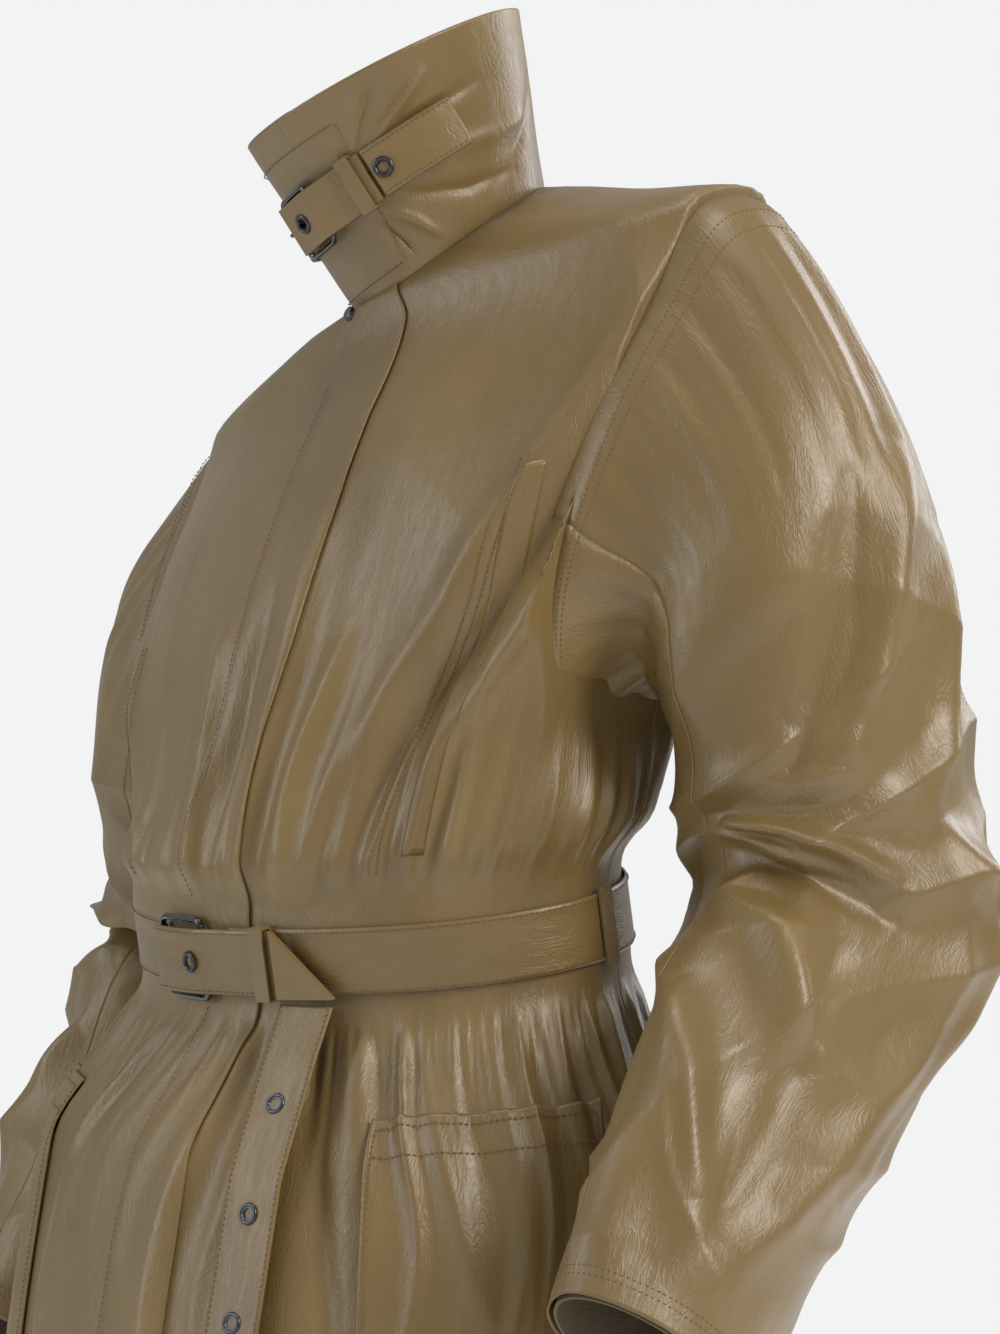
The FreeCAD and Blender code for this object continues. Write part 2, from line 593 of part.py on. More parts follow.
def belt():
    """Belt with its roller buckle, the tongue over the bar, the keeper and the folded tail."""
    belt_ring()
    gap, strap = SIZES["belt_gap"], SIZES["strap"]
    centre_off = gap + strap + 0.4 + SIZES["belt_roller_radius"]
    slope = math.degrees(math.atan2(belt_face(BUCKLE_X - 20, 0).z - belt_face(BUCKLE_X + 20, 0).z,
                                    40))
    buckle_place = BELT_FRONT.multiply(Placement(belt_face(BUCKLE_X, centre_off + 0.6),
                                                 Rotation(Y_AXIS, slope)))
    half_w = buckle("belt", buckle_place)
    chape("belt", buckle_place, half_w, "belt_width")

    low, high = -centre_off - 0.6 + gap + strap / 2 + 0.5, 6.9
    to_local = buckle_place.inverse().multiply(BELT_FRONT)
    path = [Vector(3.0 - half_w, 0, low), Vector(5.2 - half_w, 0, low),
            Vector(6.4 - half_w, 0, high), Vector(half_w + 3, 0, high)]
    path += [to_local.multVec(belt_face(x_offset, off)) for x_offset, off in ((14, 9.4),
                                                                             (30, 8.4),
                                                                             (46.5, 9.4))]
    tongue = strip("belt_tongue_strip", buckle_place, path, "belt_width", "strap")
    slot = rod("belt_tongue_slot", buckle_place, 3.2, Vector(-half_w - 4, 0, 4.9),
               Vector(-half_w + 9.5, 0, 4.2))
    eye_place = buckle_place.multiply(Placement(Vector(17, 0, high + strap / 2), Rotation()))
    holes = fuse("belt_tongue_holes", [slot, eyelet_hole("belt_tongue_hole", eye_place)])
    piece(cut("belt_tongue_cut", tongue, holes), "belt_tongue")
    piece(eyelet("belt_tongue_ring", eye_place), "belt_tongue_eyelet")

    keeper("belt", BELT_FRONT, belt_face(37, 8.8), Rotation(Y_AXIS, 6), "belt_width",
           -3.5, 2.6, 11)

    fold_place = BELT_FRONT.multiply(Placement(belt_face(68, 9.4), Rotation(Y_AXIS, 13)))
    half = SIZES["belt_width"] / 2
    slab = add("Part::Box", "belt_fold_slab", {"Height": "2 * dims.strap"},
               fold_place.multiply(Placement(Vector(-20, -half, 0), Rotation())))
    slab.Length, slab.Width = 2 * half, 2 * half
    diagonal = half_space("belt_fold_diagonal", fold_place.multVec(Vector(0, 0, 0)),
                          fold_place.Rotation.multVec(Vector(1, 1, 0)))
    piece(cut("belt_fold_cut", slab, diagonal), "belt_fold")

    # Frame of the hanging tail: X down it, Y across it, Z away from the skirt.
    top = fold_place.multVec(Vector(0, -half - 3.2, strap))
    across = Vector(0.97, 0.16, 0).normalize()
    tail_place = Placement(top, Rotation(Z_AXIS * -1, across, across.cross(Z_AXIS), "XYZ"))
    bends = [Vector(0, 0, 0), Vector(96, 0, 46), Vector(SIZES["belt_tail_length"], 0, 92)]
    slab = strip("belt_tail_strip", tail_place, bends, "belt_width", "strap")
    rings = []
    holes = []
    for index in range(4):
        distance = 56 + index * SIZES["eyelet_pitch"]
        start, end = (bends[0], bends[1]) if distance < 96 else (bends[1], bends[2])
        run = end - start
        point = start + run * ((distance - start.x) / run.x)
        turn = Rotation(Y_AXIS, -math.degrees(math.atan2(run.z, run.x)))
        eye = tail_place.multiply(Placement(point, turn)).multiply(
            Placement(Vector(0, 0, strap / 2), Rotation()))
        rings.append(eyelet("belt_tail_ring_%d" % index, eye))
        holes.append(eyelet_hole("belt_tail_hole_%d" % index, eye))
    piece(cut("belt_tail_cut", slab, fuse("belt_tail_holes", holes)), "belt_tail")
    piece(group("belt_tail_ring_group", rings), "belt_tail_eyelets")


def belt_loops():
    """Narrow upright loops that carry the belt at the sides and the back."""
    turn = Rotation(X_AXIS, BELT_PITCH)
    for name, angle in (("left_belt_loop", 8), ("right_belt_loop", 172), ("back_belt_loop", 90)):
        cos_a, sin_a = math.cos(math.radians(angle)), math.sin(math.radians(angle))
        point = Vector(BELT_HALF_WIDTH * cos_a, BELT_HALF_DEPTH * sin_a, 0)
        normal = Vector(point.x / BELT_HALF_WIDTH ** 2, point.y / BELT_HALF_DEPTH ** 2, 0)
        normal.normalize()
        frame = Rotation(Z_AXIS.cross(normal) * -1, Z_AXIS, normal, "ZYX")
        place = Placement(BELT_MIDDLE, turn).multiply(Placement(point + normal * 4.2, frame))
        loop = add("Part::Box", name + "_bar", placement=place.multiply(
            Placement(Vector(-6, -23.5, 0), Rotation())))
        loop.Length, loop.Width, loop.Height = 12, 47, 1.6
        piece(loop, name)


# ---------------------------------------------------------------- throat strap
THROAT_TURN = Rotation(Y_AXIS, -22.8).multiply(Rotation(X_AXIS, 23.0))
THROAT_FRONT = Placement(Vector(-4, -22, 52), THROAT_TURN.multiply(Rotation(X_AXIS, 90)))
THROAT_BUCKLE_ANGLE = -16.0


def throat_face(angle, stand_off):
    """Point round the collar at an angle from the front towards the wearer's left."""
    radius = SIZES["throat_ring_radius"] + stand_off
    return Vector(radius * math.sin(math.radians(angle)), 0, radius * math.cos(math.radians(angle)))


def throat_strap():
    """Collar strap: base and anchor sewn to the collar, tongue over the buckle, free tip."""
    gap, strap = 0.8, SIZES["strap"]
    centre_off = gap + strap + 0.4 + SIZES["throat_roller_radius"] + 0.6
    place = THROAT_FRONT.multiply(Placement(throat_face(THROAT_BUCKLE_ANGLE, centre_off),
                                            Rotation(Y_AXIS, THROAT_BUCKLE_ANGLE)))
    half_w = buckle("throat", place)
    chape("throat", place, half_w, "throat_width")

    anchor = [throat_face(angle, 2.2) for angle in range(-92, -28, 12)]
    piece(strip("throat_anchor_strip", THROAT_FRONT, anchor, "throat_width", "strap"),
          "throat_anchor")
    base = [throat_face(angle, 3.2) for angle in (-1, 8, 18, 28)]
    piece(strip("throat_base_strip", THROAT_FRONT, base, "throat_width", "strap"), "throat_base")

    to_local = place.inverse().multiply(THROAT_FRONT)
    low, high = -4.0, 6.6
    path = [to_local.multVec(throat_face(-31, 2.2)), Vector(-3.0 - half_w, 0, low),
            Vector(4.6 - half_w, 0, low), Vector(5.8 - half_w, 0, high),
            Vector(half_w + 3, 0, high)]
    path += [to_local.multVec(throat_face(angle, off)) for angle, off in ((6, 9.4), (14, 8.2),
                                                                         (21.5, 7.6))]
    tongue = strip("throat_tongue_strip", place, path, "throat_width", "strap")
    slot = rod("throat_tongue_slot", place, 3.2, Vector(-half_w - 4, 0, 4.6),
               Vector(-half_w + 8.5, 0, 3.9))
    eye_place = place.multiply(Placement(Vector(6, 0, high + strap / 2), Rotation()))
    holes = fuse("throat_tongue_holes", [slot, eyelet_hole("throat_tongue_hole", eye_place)])
    piece(cut("throat_tongue_cut", tongue, holes), "throat_tongue")
    piece(eyelet("throat_tongue_ring", eye_place), "throat_tongue_eyelet")
    keeper("throat", THROAT_FRONT, throat_face(15, 8.1), Rotation(Y_AXIS, 15), "throat_width",
           -1.5, 1.8, 10)

    start_angle = 22.4
    tip = [throat_face(start_angle + step * 8, 7.6 + step * 0.6) for step in range(6)]
    tip_strip = strip("throat_tip_strip", THROAT_FRONT, tip, "throat_width", "strap")
    eye_angle = start_angle + 5.5
    eye_place = THROAT_FRONT.multiply(Placement(throat_face(eye_angle, 8.1 + strap / 2),
                                                Rotation(Y_AXIS, eye_angle)))
    piece(cut("throat_tip_cut", tip_strip, eyelet_hole("throat_tip_hole", eye_place)),
          "throat_tip")
    piece(eyelet("throat_tip_ring", eye_place), "throat_tip_eyelet")


body_panels()
fly()
chest_welts()
pockets()
collar()
hanger_loop()
sleeves()
belt()
belt_loops()
throat_strap()
doc.recompute()

# ---------------------------------------------------------------- check and write
for made in doc.Objects:
    if "Invalid" in made.State or "Error" in made.State:
        raise RuntimeError("%s failed: %s" % (made.Label, made.getStatusString()))
os.makedirs("parts", exist_ok=True)
unsound = []
for made in PIECES:
    shape = made.Shape
    if shape.isNull() or not shape.isValid() or not shape.Solids:
        unsound.append(made.Label)
if unsound:
    raise RuntimeError("no sound shape: %s" % ", ".join(unsound))
for made in PIECES:
    made.Shape.exportStep("parts/%s.step" % made.Label)
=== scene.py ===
"""Looks of a belted raincoat in stiff coated cotton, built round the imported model.

Everything is shaped in millimetres in the model's own frame and written in metres. The
cloth follows the girth and sleeve rings of the model, then it is folded and stitched.
"""
import bmesh, bpy, math
import numpy as np
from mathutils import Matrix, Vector, noise


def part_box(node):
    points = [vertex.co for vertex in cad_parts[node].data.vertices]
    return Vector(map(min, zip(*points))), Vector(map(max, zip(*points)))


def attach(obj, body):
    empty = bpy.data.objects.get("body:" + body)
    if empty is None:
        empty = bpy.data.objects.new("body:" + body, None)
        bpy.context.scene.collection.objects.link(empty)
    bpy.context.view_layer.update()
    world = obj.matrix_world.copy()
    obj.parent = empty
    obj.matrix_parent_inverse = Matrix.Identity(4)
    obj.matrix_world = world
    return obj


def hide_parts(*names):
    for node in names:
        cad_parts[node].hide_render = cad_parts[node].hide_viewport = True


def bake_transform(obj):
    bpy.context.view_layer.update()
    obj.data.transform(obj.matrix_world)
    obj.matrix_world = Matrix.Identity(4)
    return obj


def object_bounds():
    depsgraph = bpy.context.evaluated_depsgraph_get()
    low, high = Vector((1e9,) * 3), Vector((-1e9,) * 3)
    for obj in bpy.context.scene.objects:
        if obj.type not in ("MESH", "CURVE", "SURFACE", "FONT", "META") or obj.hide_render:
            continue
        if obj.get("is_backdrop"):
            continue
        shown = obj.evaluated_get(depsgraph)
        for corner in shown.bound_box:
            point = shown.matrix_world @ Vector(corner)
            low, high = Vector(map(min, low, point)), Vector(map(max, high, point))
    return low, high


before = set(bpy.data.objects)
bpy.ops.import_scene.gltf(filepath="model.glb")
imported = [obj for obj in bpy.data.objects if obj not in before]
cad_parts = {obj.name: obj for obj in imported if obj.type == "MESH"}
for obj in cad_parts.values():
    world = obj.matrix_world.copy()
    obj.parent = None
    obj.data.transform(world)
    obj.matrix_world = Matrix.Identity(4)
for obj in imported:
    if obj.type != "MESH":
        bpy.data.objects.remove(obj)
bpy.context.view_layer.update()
MM = 0.001
FINE = 1.0

# ---------------------------------------------------------------- body panels
# Two fronts and two backs of coated cotton, seamed at the sides and the middle of the back.
# The right front laps over the left one, and the belt gathers all four at the waist. The
# rings are the girths that the panels are cut to.
GIRTHS = np.array([
    [0, 69, 66, 0, 0, 0, 26.5, 22.8],
    [-18, 150, 80, 0, 14, -18, 14, 17],
    [-48, 245, 88, 0, 22, -48, 8, 15.5],
    [-150, 262, 112, 0, -2, -150, 6, 14],
    [-235, 248, 122, 0, -22, -235, 5, 12],
    [-325, 196, 126, 0, -40, -325, 6, 9.5],
    [-392, 182, 118, 0, -64, -392, 9.65, 0],
    [-438, 182, 118, 0, -56, -438, 9.65, 0],
    [-540, 232, 150, -10, -68, -540, 6, 0],
    [-690, 262, 172, -10, -76, -690, 4, 0],
    [-1115, 326, 217, -6, -80, -1115, 2, 0]], float)
WAIST = -415.0
BODY_TURN = 3.3    # cloth to a degree round the body, for the folds
CLOTH_TURN = 3.6   # cloth to a degree round the body, for the weave


def smooth_rows(knots, rows, at):
    """Monotone cubic through rows of values given at rising knots."""
    knots, rows, at = np.asarray(knots, float), np.asarray(rows, float), np.asarray(at, float)
    step = np.diff(knots)[:, None]
    slope = np.diff(rows, axis=0) / step
    tangent = np.zeros_like(rows)
    tangent[1:-1] = np.where(slope[:-1] * slope[1:] > 0,
                             2 * slope[:-1] * slope[1:] / (slope[:-1] + slope[1:] + 1e-12), 0)
    tangent[0], tangent[-1] = slope[0], slope[-1]
    cell = np.clip(np.searchsorted(knots, at, side="right") - 1, 0, len(knots) - 2)
    width = (knots[cell + 1] - knots[cell])[..., None]
    t = ((at - knots[cell])[..., None]) / width
    return ((2 * t**3 - 3 * t**2 + 1) * rows[cell] + (t**3 - 2 * t**2 + t) * width * tangent[cell]
            + (3 * t**2 - 2 * t**3) * rows[cell + 1] + (t**3 - t**2) * width * tangent[cell + 1])


def girth_points(angle, level, lift=0.0):
    """Body surface at an angle (degrees, 0 at the wearer's left, -90 in front) and a level."""
    row = smooth_rows(-GIRTHS[:, 0], GIRTHS[:, 1:], -level)
    half_w, half_d, mx, my, mz, pitch, roll = np.moveaxis(row, -1, 0)
    turn = np.radians(angle)
    x, y = (half_w + lift) * np.cos(turn), (half_d + lift) * np.sin(turn)
    pitch, roll = np.radians(pitch), np.radians(-roll)
    y, z = y * np.cos(pitch), y * np.sin(pitch)
    x, z = x * np.cos(roll) + z * np.sin(roll), -x * np.sin(roll) + z * np.cos(roll)
    return np.stack([x + mx, y + my, z + mz], -1)


def rise(edge0, edge1, value):
    """Smooth step from 0 at one edge to 1 at the other."""
    t = np.clip((value - edge0) / (edge1 - edge0), 0, 1)
    return t * t * (3 - 2 * t)


def wander(a, b, seed):
    """Smooth noise over two arrays of coordinates."""
    flat = [noise.noise((x, y, seed)) for x, y in zip(np.ravel(a), np.ravel(b))]
    return np.array(flat).reshape(np.shape(a))


def fold(u, v, path, width, height, sharp=1.0):
    """Ridge of one fold along a path in the cloth's own (u, v), tapered at both ends."""
    path = np.asarray(path, float)
    best = np.full(np.shape(u), 1e9)
    along = np.zeros(np.shape(u))
    lengths = np.hypot(*np.diff(path, axis=0).T)
    total, done = lengths.sum(), 0.0
    for start, end, length in zip(path[:-1], path[1:], lengths):
        run = (end - start) / length
        t = np.clip((u - start[0]) * run[0] + (v - start[1]) * run[1], 0, length)
        gap = np.hypot(u - start[0] - t * run[0], v - start[1] - t * run[1])
        closer = gap < best
        best = np.where(closer, gap, best)
        along = np.where(closer, done + t, along)
        done += length
    taper = np.sin(np.pi * np.clip(along / total, 0.02, 0.98)) ** 0.6
    return height * taper / (1 + (best / width) ** 2) ** sharp
BODY_PLEATS = [
    ([(-31, -120), (-46, -250), (-62, -372)], 13, -13),
    ([(-36, -105), (-55, -235), (-70, -365)], 15, 10),
    ([(-24, -150), (-38, -260), (-52, -372)], 14, 12),
    ([(-86, -150), (-84, -280), (-82, -385)], 9, 9),
    ([(-92, -190), (-93, -300), (-91, -385)], 7, -6),
    ([(-74, -240), (-75, -320), (-75, -385)], 8, 8),
    ([(-101, -210), (-100, -310), (-97, -385)], 8, 8),
    ([(-66, -448), (-60, -560), (-54, -700)], 12, -9),
    ([(-84, -448), (-86, -600), (-88, -760)], 14, 8),
    ([(-46, -448), (-38, -540), (-30, -640)], 11, 8),
    ([(-110, -448), (-114, -560), (-118, -720)], 12, 8),
    ([(-8, -448), (-4, -560), (0, -700)], 14, -9),
    ([(60, -120), (72, -250), (84, -375)], 16, 9),
    ([(120, -130), (110, -250), (98, -375)], 16, 9),
    ([(-140, -170), (-128, -280), (-118, -380)], 12, 9),
    ([(-150, -150), (-136, -270), (-124, -380)], 12, -9)]

def body_folds(angle, level):
    """Outward height of the folds on the body, in millimetres."""
    above = np.clip(level - WAIST - 23, 0, 400)
    below = np.clip(WAIST - 23 - level, 0, 700)
    around = angle * BODY_TURN
    sway = 9 * wander(angle * 0.03, level * 0.006, 3.0)
    # Gathers pushed up and down by the belt.
    gathers = np.abs(wander((angle + sway) * 0.13, level * 0.0025, 11.0))
    gathers = 1 - 2.1 * np.clip(gathers, 0, 0.48)
    fine = 1 - 2.4 * np.clip(np.abs(wander((angle + sway) * 0.3, level * 0.004, 23.0)), 0, 0.42)
    up, near_up = rise(0, 34, above) * np.exp(-above / 75.0), rise(0, 26, above)
    down = rise(0, 46, below) * (0.2 + 0.8 * np.exp(-below / 110.0))
    height = up * (11 * gathers - 5) + near_up * np.exp(-above / 30.0) * (5 * fine - 2)
    height += down * (12 * gathers - 5) + rise(0, 30, below) * np.exp(-below / 40.0) * (5 * fine - 2)
    # The bodice blouses over the belt.
    height += 9 * rise(0, 30, above) * np.exp(-((above - 45) / 60.0) ** 2)
    # Slanting drags across the chest and long soft flutes down the skirt.
    drags = 1 - 2.2 * np.clip(np.abs(wander(around * 0.0062 + level * 0.0036,
                                            level * 0.0012 - around * 0.0008, 31.0)), 0, 0.45)
    height += (7.0 * drags - 3) * rise(30, 130, above) * rise(-20, -110, level)
    flutes = wander(angle * 0.05, level * 0.0009, 41.0)
    height += 20 * flutes * rise(60, 420, below)
    height += 1.5 * wander(around * 0.012, level * 0.009, 51.0) * rise(10, 60, above + below)
    for path, width, tall in BODY_PLEATS:
        mapped = [(a * BODY_TURN, z) for a, z in path]
        height += fold(around, level, mapped, width, tall, 1.3)
    pinned = np.maximum(rise(2, 30, above), rise(2, 30, below))
    return height * pinned * rise(0, -45, level)


ARMHOLES = {"left": (np.array([203.0, 25, -136]), np.array([1.0, 0, -0.109])),
            "right": (np.array([-203.0, 20, -225]), np.array([-1.0, 0, -0.15]))}
for key, (spot, way) in ARMHOLES.items():
    ARMHOLES[key] = (spot, way / np.linalg.norm(way))


def press_armholes(points):
    """Cloth past an armhole's plane is laid back onto it, behind the sleeve head."""
    for spot, way in ARMHOLES.values():
        past = (points - spot) @ way
        push = np.clip(past, 0, None) * rise(spot[2] - 215, spot[2] - 150, points[..., 2])
        points = points - push[..., None] * way
    return points


def normals_of(points):
    """Unit normals of a grid of points."""
    across = np.gradient(points, axis=1)
    down = np.gradient(points, axis=0)
    normal = np.cross(across, down)
    return normal / (np.linalg.norm(normal, axis=2, keepdims=True) + 1e-12)


def body_grid(first, last, top, bottom, columns, rows, lift=0.0):
    """Folded body surface between two angles and two levels, with its cloth coordinates."""
    angle, level = np.meshgrid(np.linspace(first, last, columns), np.linspace(top, bottom, rows))
    rest = girth_points(angle, level)
    out = -normals_of(rest)
    flip = np.sign(((rest - girth_points(angle, level, -8)) * out).sum(-1, keepdims=True))
    out = out * flip
    points = rest + out * (body_folds(angle, level) + lift)[..., None]
    points = press_armholes(points)
    uv = np.stack([angle * CLOTH_TURN, level], -1)
    return points, uv


def grid_mesh(name, points, uv):
    """Open sheet through a grid of points in millimetres, with UVs in metres."""
    rows, columns = points.shape[:2]
    flat = points.reshape(-1, 3) * MM
    index = np.arange(rows * columns).reshape(rows, columns)
    quads = np.stack([index[:-1, :-1], index[1:, :-1], index[1:, 1:], index[:-1, 1:]], -1)
    mesh = bpy.data.meshes.new(name)
    mesh.from_pydata(flat.tolist(), [], quads.reshape(-1, 4).tolist())
    layer = mesh.uv_layers.new(name="cloth")
    corner = np.empty(len(mesh.loops), dtype=np.int32)
    mesh.loops.foreach_get("vertex_index", corner)
    layer.data.foreach_set("uv", (uv.reshape(-1, 2) * MM)[corner].ravel())
    mesh.polygons.foreach_set("use_smooth", [True] * len(mesh.polygons))
    made = bpy.data.objects.new(name, mesh)
    bpy.context.collection.objects.link(made)
    return made


def thicken(made, thickness):
    """Cloth thickness laid on the inner side of a sheet."""
    modifier = made.modifiers.new("thickness", "SOLIDIFY")
    modifier.thickness = thickness * MM
    modifier.offset = -1.0
    modifier.use_even_offset = False


def socket_values(shader, **values):
    """Constants set on a shader's own sockets."""
    for key, value in values.items():
        shader.inputs[key.replace("_", " ")].default_value = value


def crinkle_group():
    """Node group: height and colour mask of a crinkled coating over a fine weave."""
    group = bpy.data.node_groups.new("crinkled_coating", "ShaderNodeTree")
    group.interface.new_socket("Vector", in_out="INPUT", socket_type="NodeSocketVector")
    group.interface.new_socket("Height", in_out="OUTPUT", socket_type="NodeSocketFloat")
    group.interface.new_socket("Patch", in_out="OUTPUT", socket_type="NodeSocketFloat")
    nodes, links = group.nodes, group.links
    inlet, outlet = nodes.new("NodeGroupInput"), nodes.new("NodeGroupOutput")

    def texture(kind, scale, stretch, detail=4.0, distortion=0.0):
        mapping = nodes.new("ShaderNodeMapping")
        mapping.inputs["Scale"].default_value = stretch
        links.new(inlet.outputs["Vector"], mapping.inputs["Vector"])
        made = nodes.new(kind)
        made.inputs["Scale"].default_value = scale
        links.new(mapping.outputs["Vector"], made.inputs["Vector"])
        if "Detail" in made.inputs:
            made.inputs["Detail"].default_value = detail
        if "Distortion" in made.inputs:
            made.inputs["Distortion"].default_value = distortion
        return made

    def mix(a, b, factor_a, factor_b):
        scaled_a, scaled_b, added = (nodes.new("ShaderNodeMath") for _ in range(3))
        scaled_a.operation = scaled_b.operation = "MULTIPLY"
        scaled_a.inputs[1].default_value, scaled_b.inputs[1].default_value = factor_a, factor_b
        links.new(a, scaled_a.inputs[0])
        links.new(b, scaled_b.inputs[0])
        links.new(scaled_a.outputs[0], added.inputs[0])
        links.new(scaled_b.outputs[0], added.inputs[1])
        return added.outputs[0]

    creases = texture("ShaderNodeTexNoise", 120.0, (1.0, 0.32, 1.0), 5.0, 1.4)
    ridged = nodes.new("ShaderNodeMath")
    ridged.operation = "PINGPONG"
    ridged.inputs[1].default_value = 0.09
    links.new(creases.outputs["Fac"], ridged.inputs[0])
    broad = texture("ShaderNodeTexNoise", 34.0, (1.0, 0.5, 1.0), 4.0, 0.9)
    weave = texture("ShaderNodeTexWave", 520.0, (1.0, 0.35, 1.0), 0.0, 0.6)
    first = mix(ridged.outputs[0], broad.outputs["Fac"], 5.0, 0.9)
    links.new(mix(first, weave.outputs["Fac"], 1.0, 0.035), outlet.inputs["Height"])
    patch = texture("ShaderNodeTexNoise", 9.0, (1.0, 0.7, 1.0), 6.0, 0.5)
    links.new(patch.outputs["Fac"], outlet.inputs["Patch"])
    return group


CRINKLE = crinkle_group()


def coated_cotton(name, dark, light, roughness, strength, on_solid=False):
    """Waxy coated cotton: crinkled, weakly glossy, a little lighter where it is rubbed."""
    material = bpy.data.materials.new(name)
    material.use_nodes = True
    nodes, links = material.node_tree.nodes, material.node_tree.links
    shader = nodes["Principled BSDF"]
    socket_values(shader, Specular_IOR_Level=0.62, IOR=1.5, Sheen_Weight=0.03,
                  Sheen_Roughness=0.4, Coat_Weight=0.24, Coat_Roughness=0.32)
    if on_solid:
        place = nodes.new("ShaderNodeTexCoord").outputs["Object"]
    else:
        unwrapped = nodes.new("ShaderNodeUVMap")
        unwrapped.uv_map = "cloth"
        place = unwrapped.outputs["UV"]
    group = nodes.new("ShaderNodeGroup")
    group.node_tree = CRINKLE
    links.new(place, group.inputs["Vector"])
    ramp = nodes.new("ShaderNodeValToRGB")
    ramp.color_ramp.elements[0].position, ramp.color_ramp.elements[1].position = 0.36, 0.66
    ramp.color_ramp.elements[0].color, ramp.color_ramp.elements[1].color = dark, light
    links.new(group.outputs["Patch"], ramp.inputs["Fac"])
    links.new(ramp.outputs["Color"], shader.inputs["Base Color"])
    rough = nodes.new("ShaderNodeMapRange")
    rough.inputs["To Min"].default_value = roughness - 0.04
    rough.inputs["To Max"].default_value = roughness + 0.06
    links.new(group.outputs["Patch"], rough.inputs["Value"])
    links.new(rough.outputs["Result"], shader.inputs["Roughness"])
    bump = nodes.new("ShaderNodeBump")
    bump.inputs["Strength"].default_value = strength
    bump.inputs["Distance"].default_value = 0.0012
    links.new(group.outputs["Height"], bump.inputs["Height"])
    links.new(bump.outputs["Normal"], shader.inputs["Normal"])
    return material


KHAKI_DARK, KHAKI_LIGHT = (0.176, 0.112, 0.035, 1), (0.226, 0.147, 0.05, 1)
SHELL = coated_cotton("khaki_coated_cotton", KHAKI_DARK, KHAKI_LIGHT, 0.37, 0.3)


def dress(made, material):
    """Material of a piece, in its one slot."""
    made.data.materials.clear()
    made.data.materials.append(material)
    return made


def cloth_piece(made, body, cloth=SHELL, thickness=1.1):
    """Material, thickness and, when a body is named, the parent of one cloth panel."""
    dress(made, cloth)
    thicken(made, thickness)
    if body:
        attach(made, body)


PANELS = [("right_front", -171, -83, 2.2), ("left_front", -92, 14, 0.0),
          ("right_back", 90, 189, 0.0), ("left_back", 14, 90, 0.0)]
for node, first, last, lift in PANELS:
    columns = int((last - first) * 1.4 * FINE)
    points, uv = body_grid(first, last, -1, -1114, columns, int(300 * FINE), lift)
    made = grid_mesh(node + "_cloth", points, uv)
    cloth_piece(made, "coat_body")
    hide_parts(node)

# ---------------------------------------------------------------- sleeves
# Set-in two-piece sleeves with a lining, wide at the head and creased round the bent elbow.
# The head is tucked behind the body cloth at the armhole. Each ring is a middle x y z,
# a direction x y z, a half width and a half depth.
ARMS = {
    "left": [(203, 25, -136, 1, 0, -0.109, 150, 84), (264, 32, -226, 0.62, 0.05, -0.78, 95, 90),
             (272, 48, -312, 0.2, 0.1, -0.97, 73, 92), (275, 60, -400, 0.06, -0.3, -0.95, 70, 97),
             (300, -58, -535, 0.13, -0.64, -0.75, 58, 88),
             (318, -145, -640, 0.1, -0.6, -0.78, 48, 70)],
    "right": [(-203, 20, -225, -1, 0, -0.15, 150, 84), (-262, 34, -306, -0.66, 0.1, -0.74, 95, 90),
              (-290, 62, -388, -0.3, 0.2, -0.93, 73, 92),
              (-315, 90, -460, -0.05, -0.25, -0.96, 70, 97),
              (-327, 15, -590, -0.06, -0.54, -0.84, 58, 88),
              (-338, -75, -715, -0.04, -0.5, -0.86, 48, 70)]}

SLEEVE_TURN = 1.35             # cloth to a degree round the sleeve
RING_RUN = 125.0               # cloth from one ring to the next
HEAD_TALL, HEAD_DEEP = 150.0, 84.0


def sleeve_points(side, turn, down):
    """Sleeve surface at a turn (degrees, 0 outward or up, 90 to the front) and a ring number."""
    rings = np.array(ARMS[side], float)
    sign = 1.0 if side == "left" else -1.0
    row = smooth_rows(np.arange(len(rings)), rings, down)
    middle, way = row[..., 0:3], row[..., 3:6]
    way = way / np.linalg.norm(way, axis=-1, keepdims=True)
    blend = rise(0, 2, down)[..., None]
    outward = (1 - blend) * np.array([0, 0, 1.0]) + blend * np.array([sign, 0, 0.0])
    outward = outward - way * (outward * way).sum(-1, keepdims=True)
    outward = outward / np.linalg.norm(outward, axis=-1, keepdims=True)
    front = np.cross(way, outward) * sign
    angle = np.radians(turn)[..., None]
    half_w, half_d = row[..., 6:7], row[..., 7:8]
    return middle + outward * half_w * np.cos(angle) + front * half_d * np.sin(angle)


SLEEVE_PLEATS = [
    ([(-10, 0.75), (12, 1.5), (34, 2.15)], 13, 13), ([(14, 0.8), (34, 1.5), (58, 2.2)], 12, -11),
    ([(-34, 1.0), (-20, 1.9), (8, 2.65)], 12, 11), ([(92, 2.5), (60, 2.65), (18, 3.0)], 13, 15),
    ([(96, 2.9), (58, 3.05), (14, 3.2)], 11, -13), ([(94, 3.25), (62, 3.4), (20, 3.85)], 13, 14),
    ([(-4, 2.5), (-26, 3.0), (-44, 3.5)], 13, 11), ([(90, 3.7), (66, 4.0), (40, 4.5)], 13, 12),
    ([(36, 3.3), (22, 4.0), (30, 4.6)], 12, -10), ([(-20, 3.4), (-6, 4.1), (10, 4.6)], 14, 10),
    ([(-60, 2.4), (-40, 3.2), (-20, 4.1)], 13, 9)]


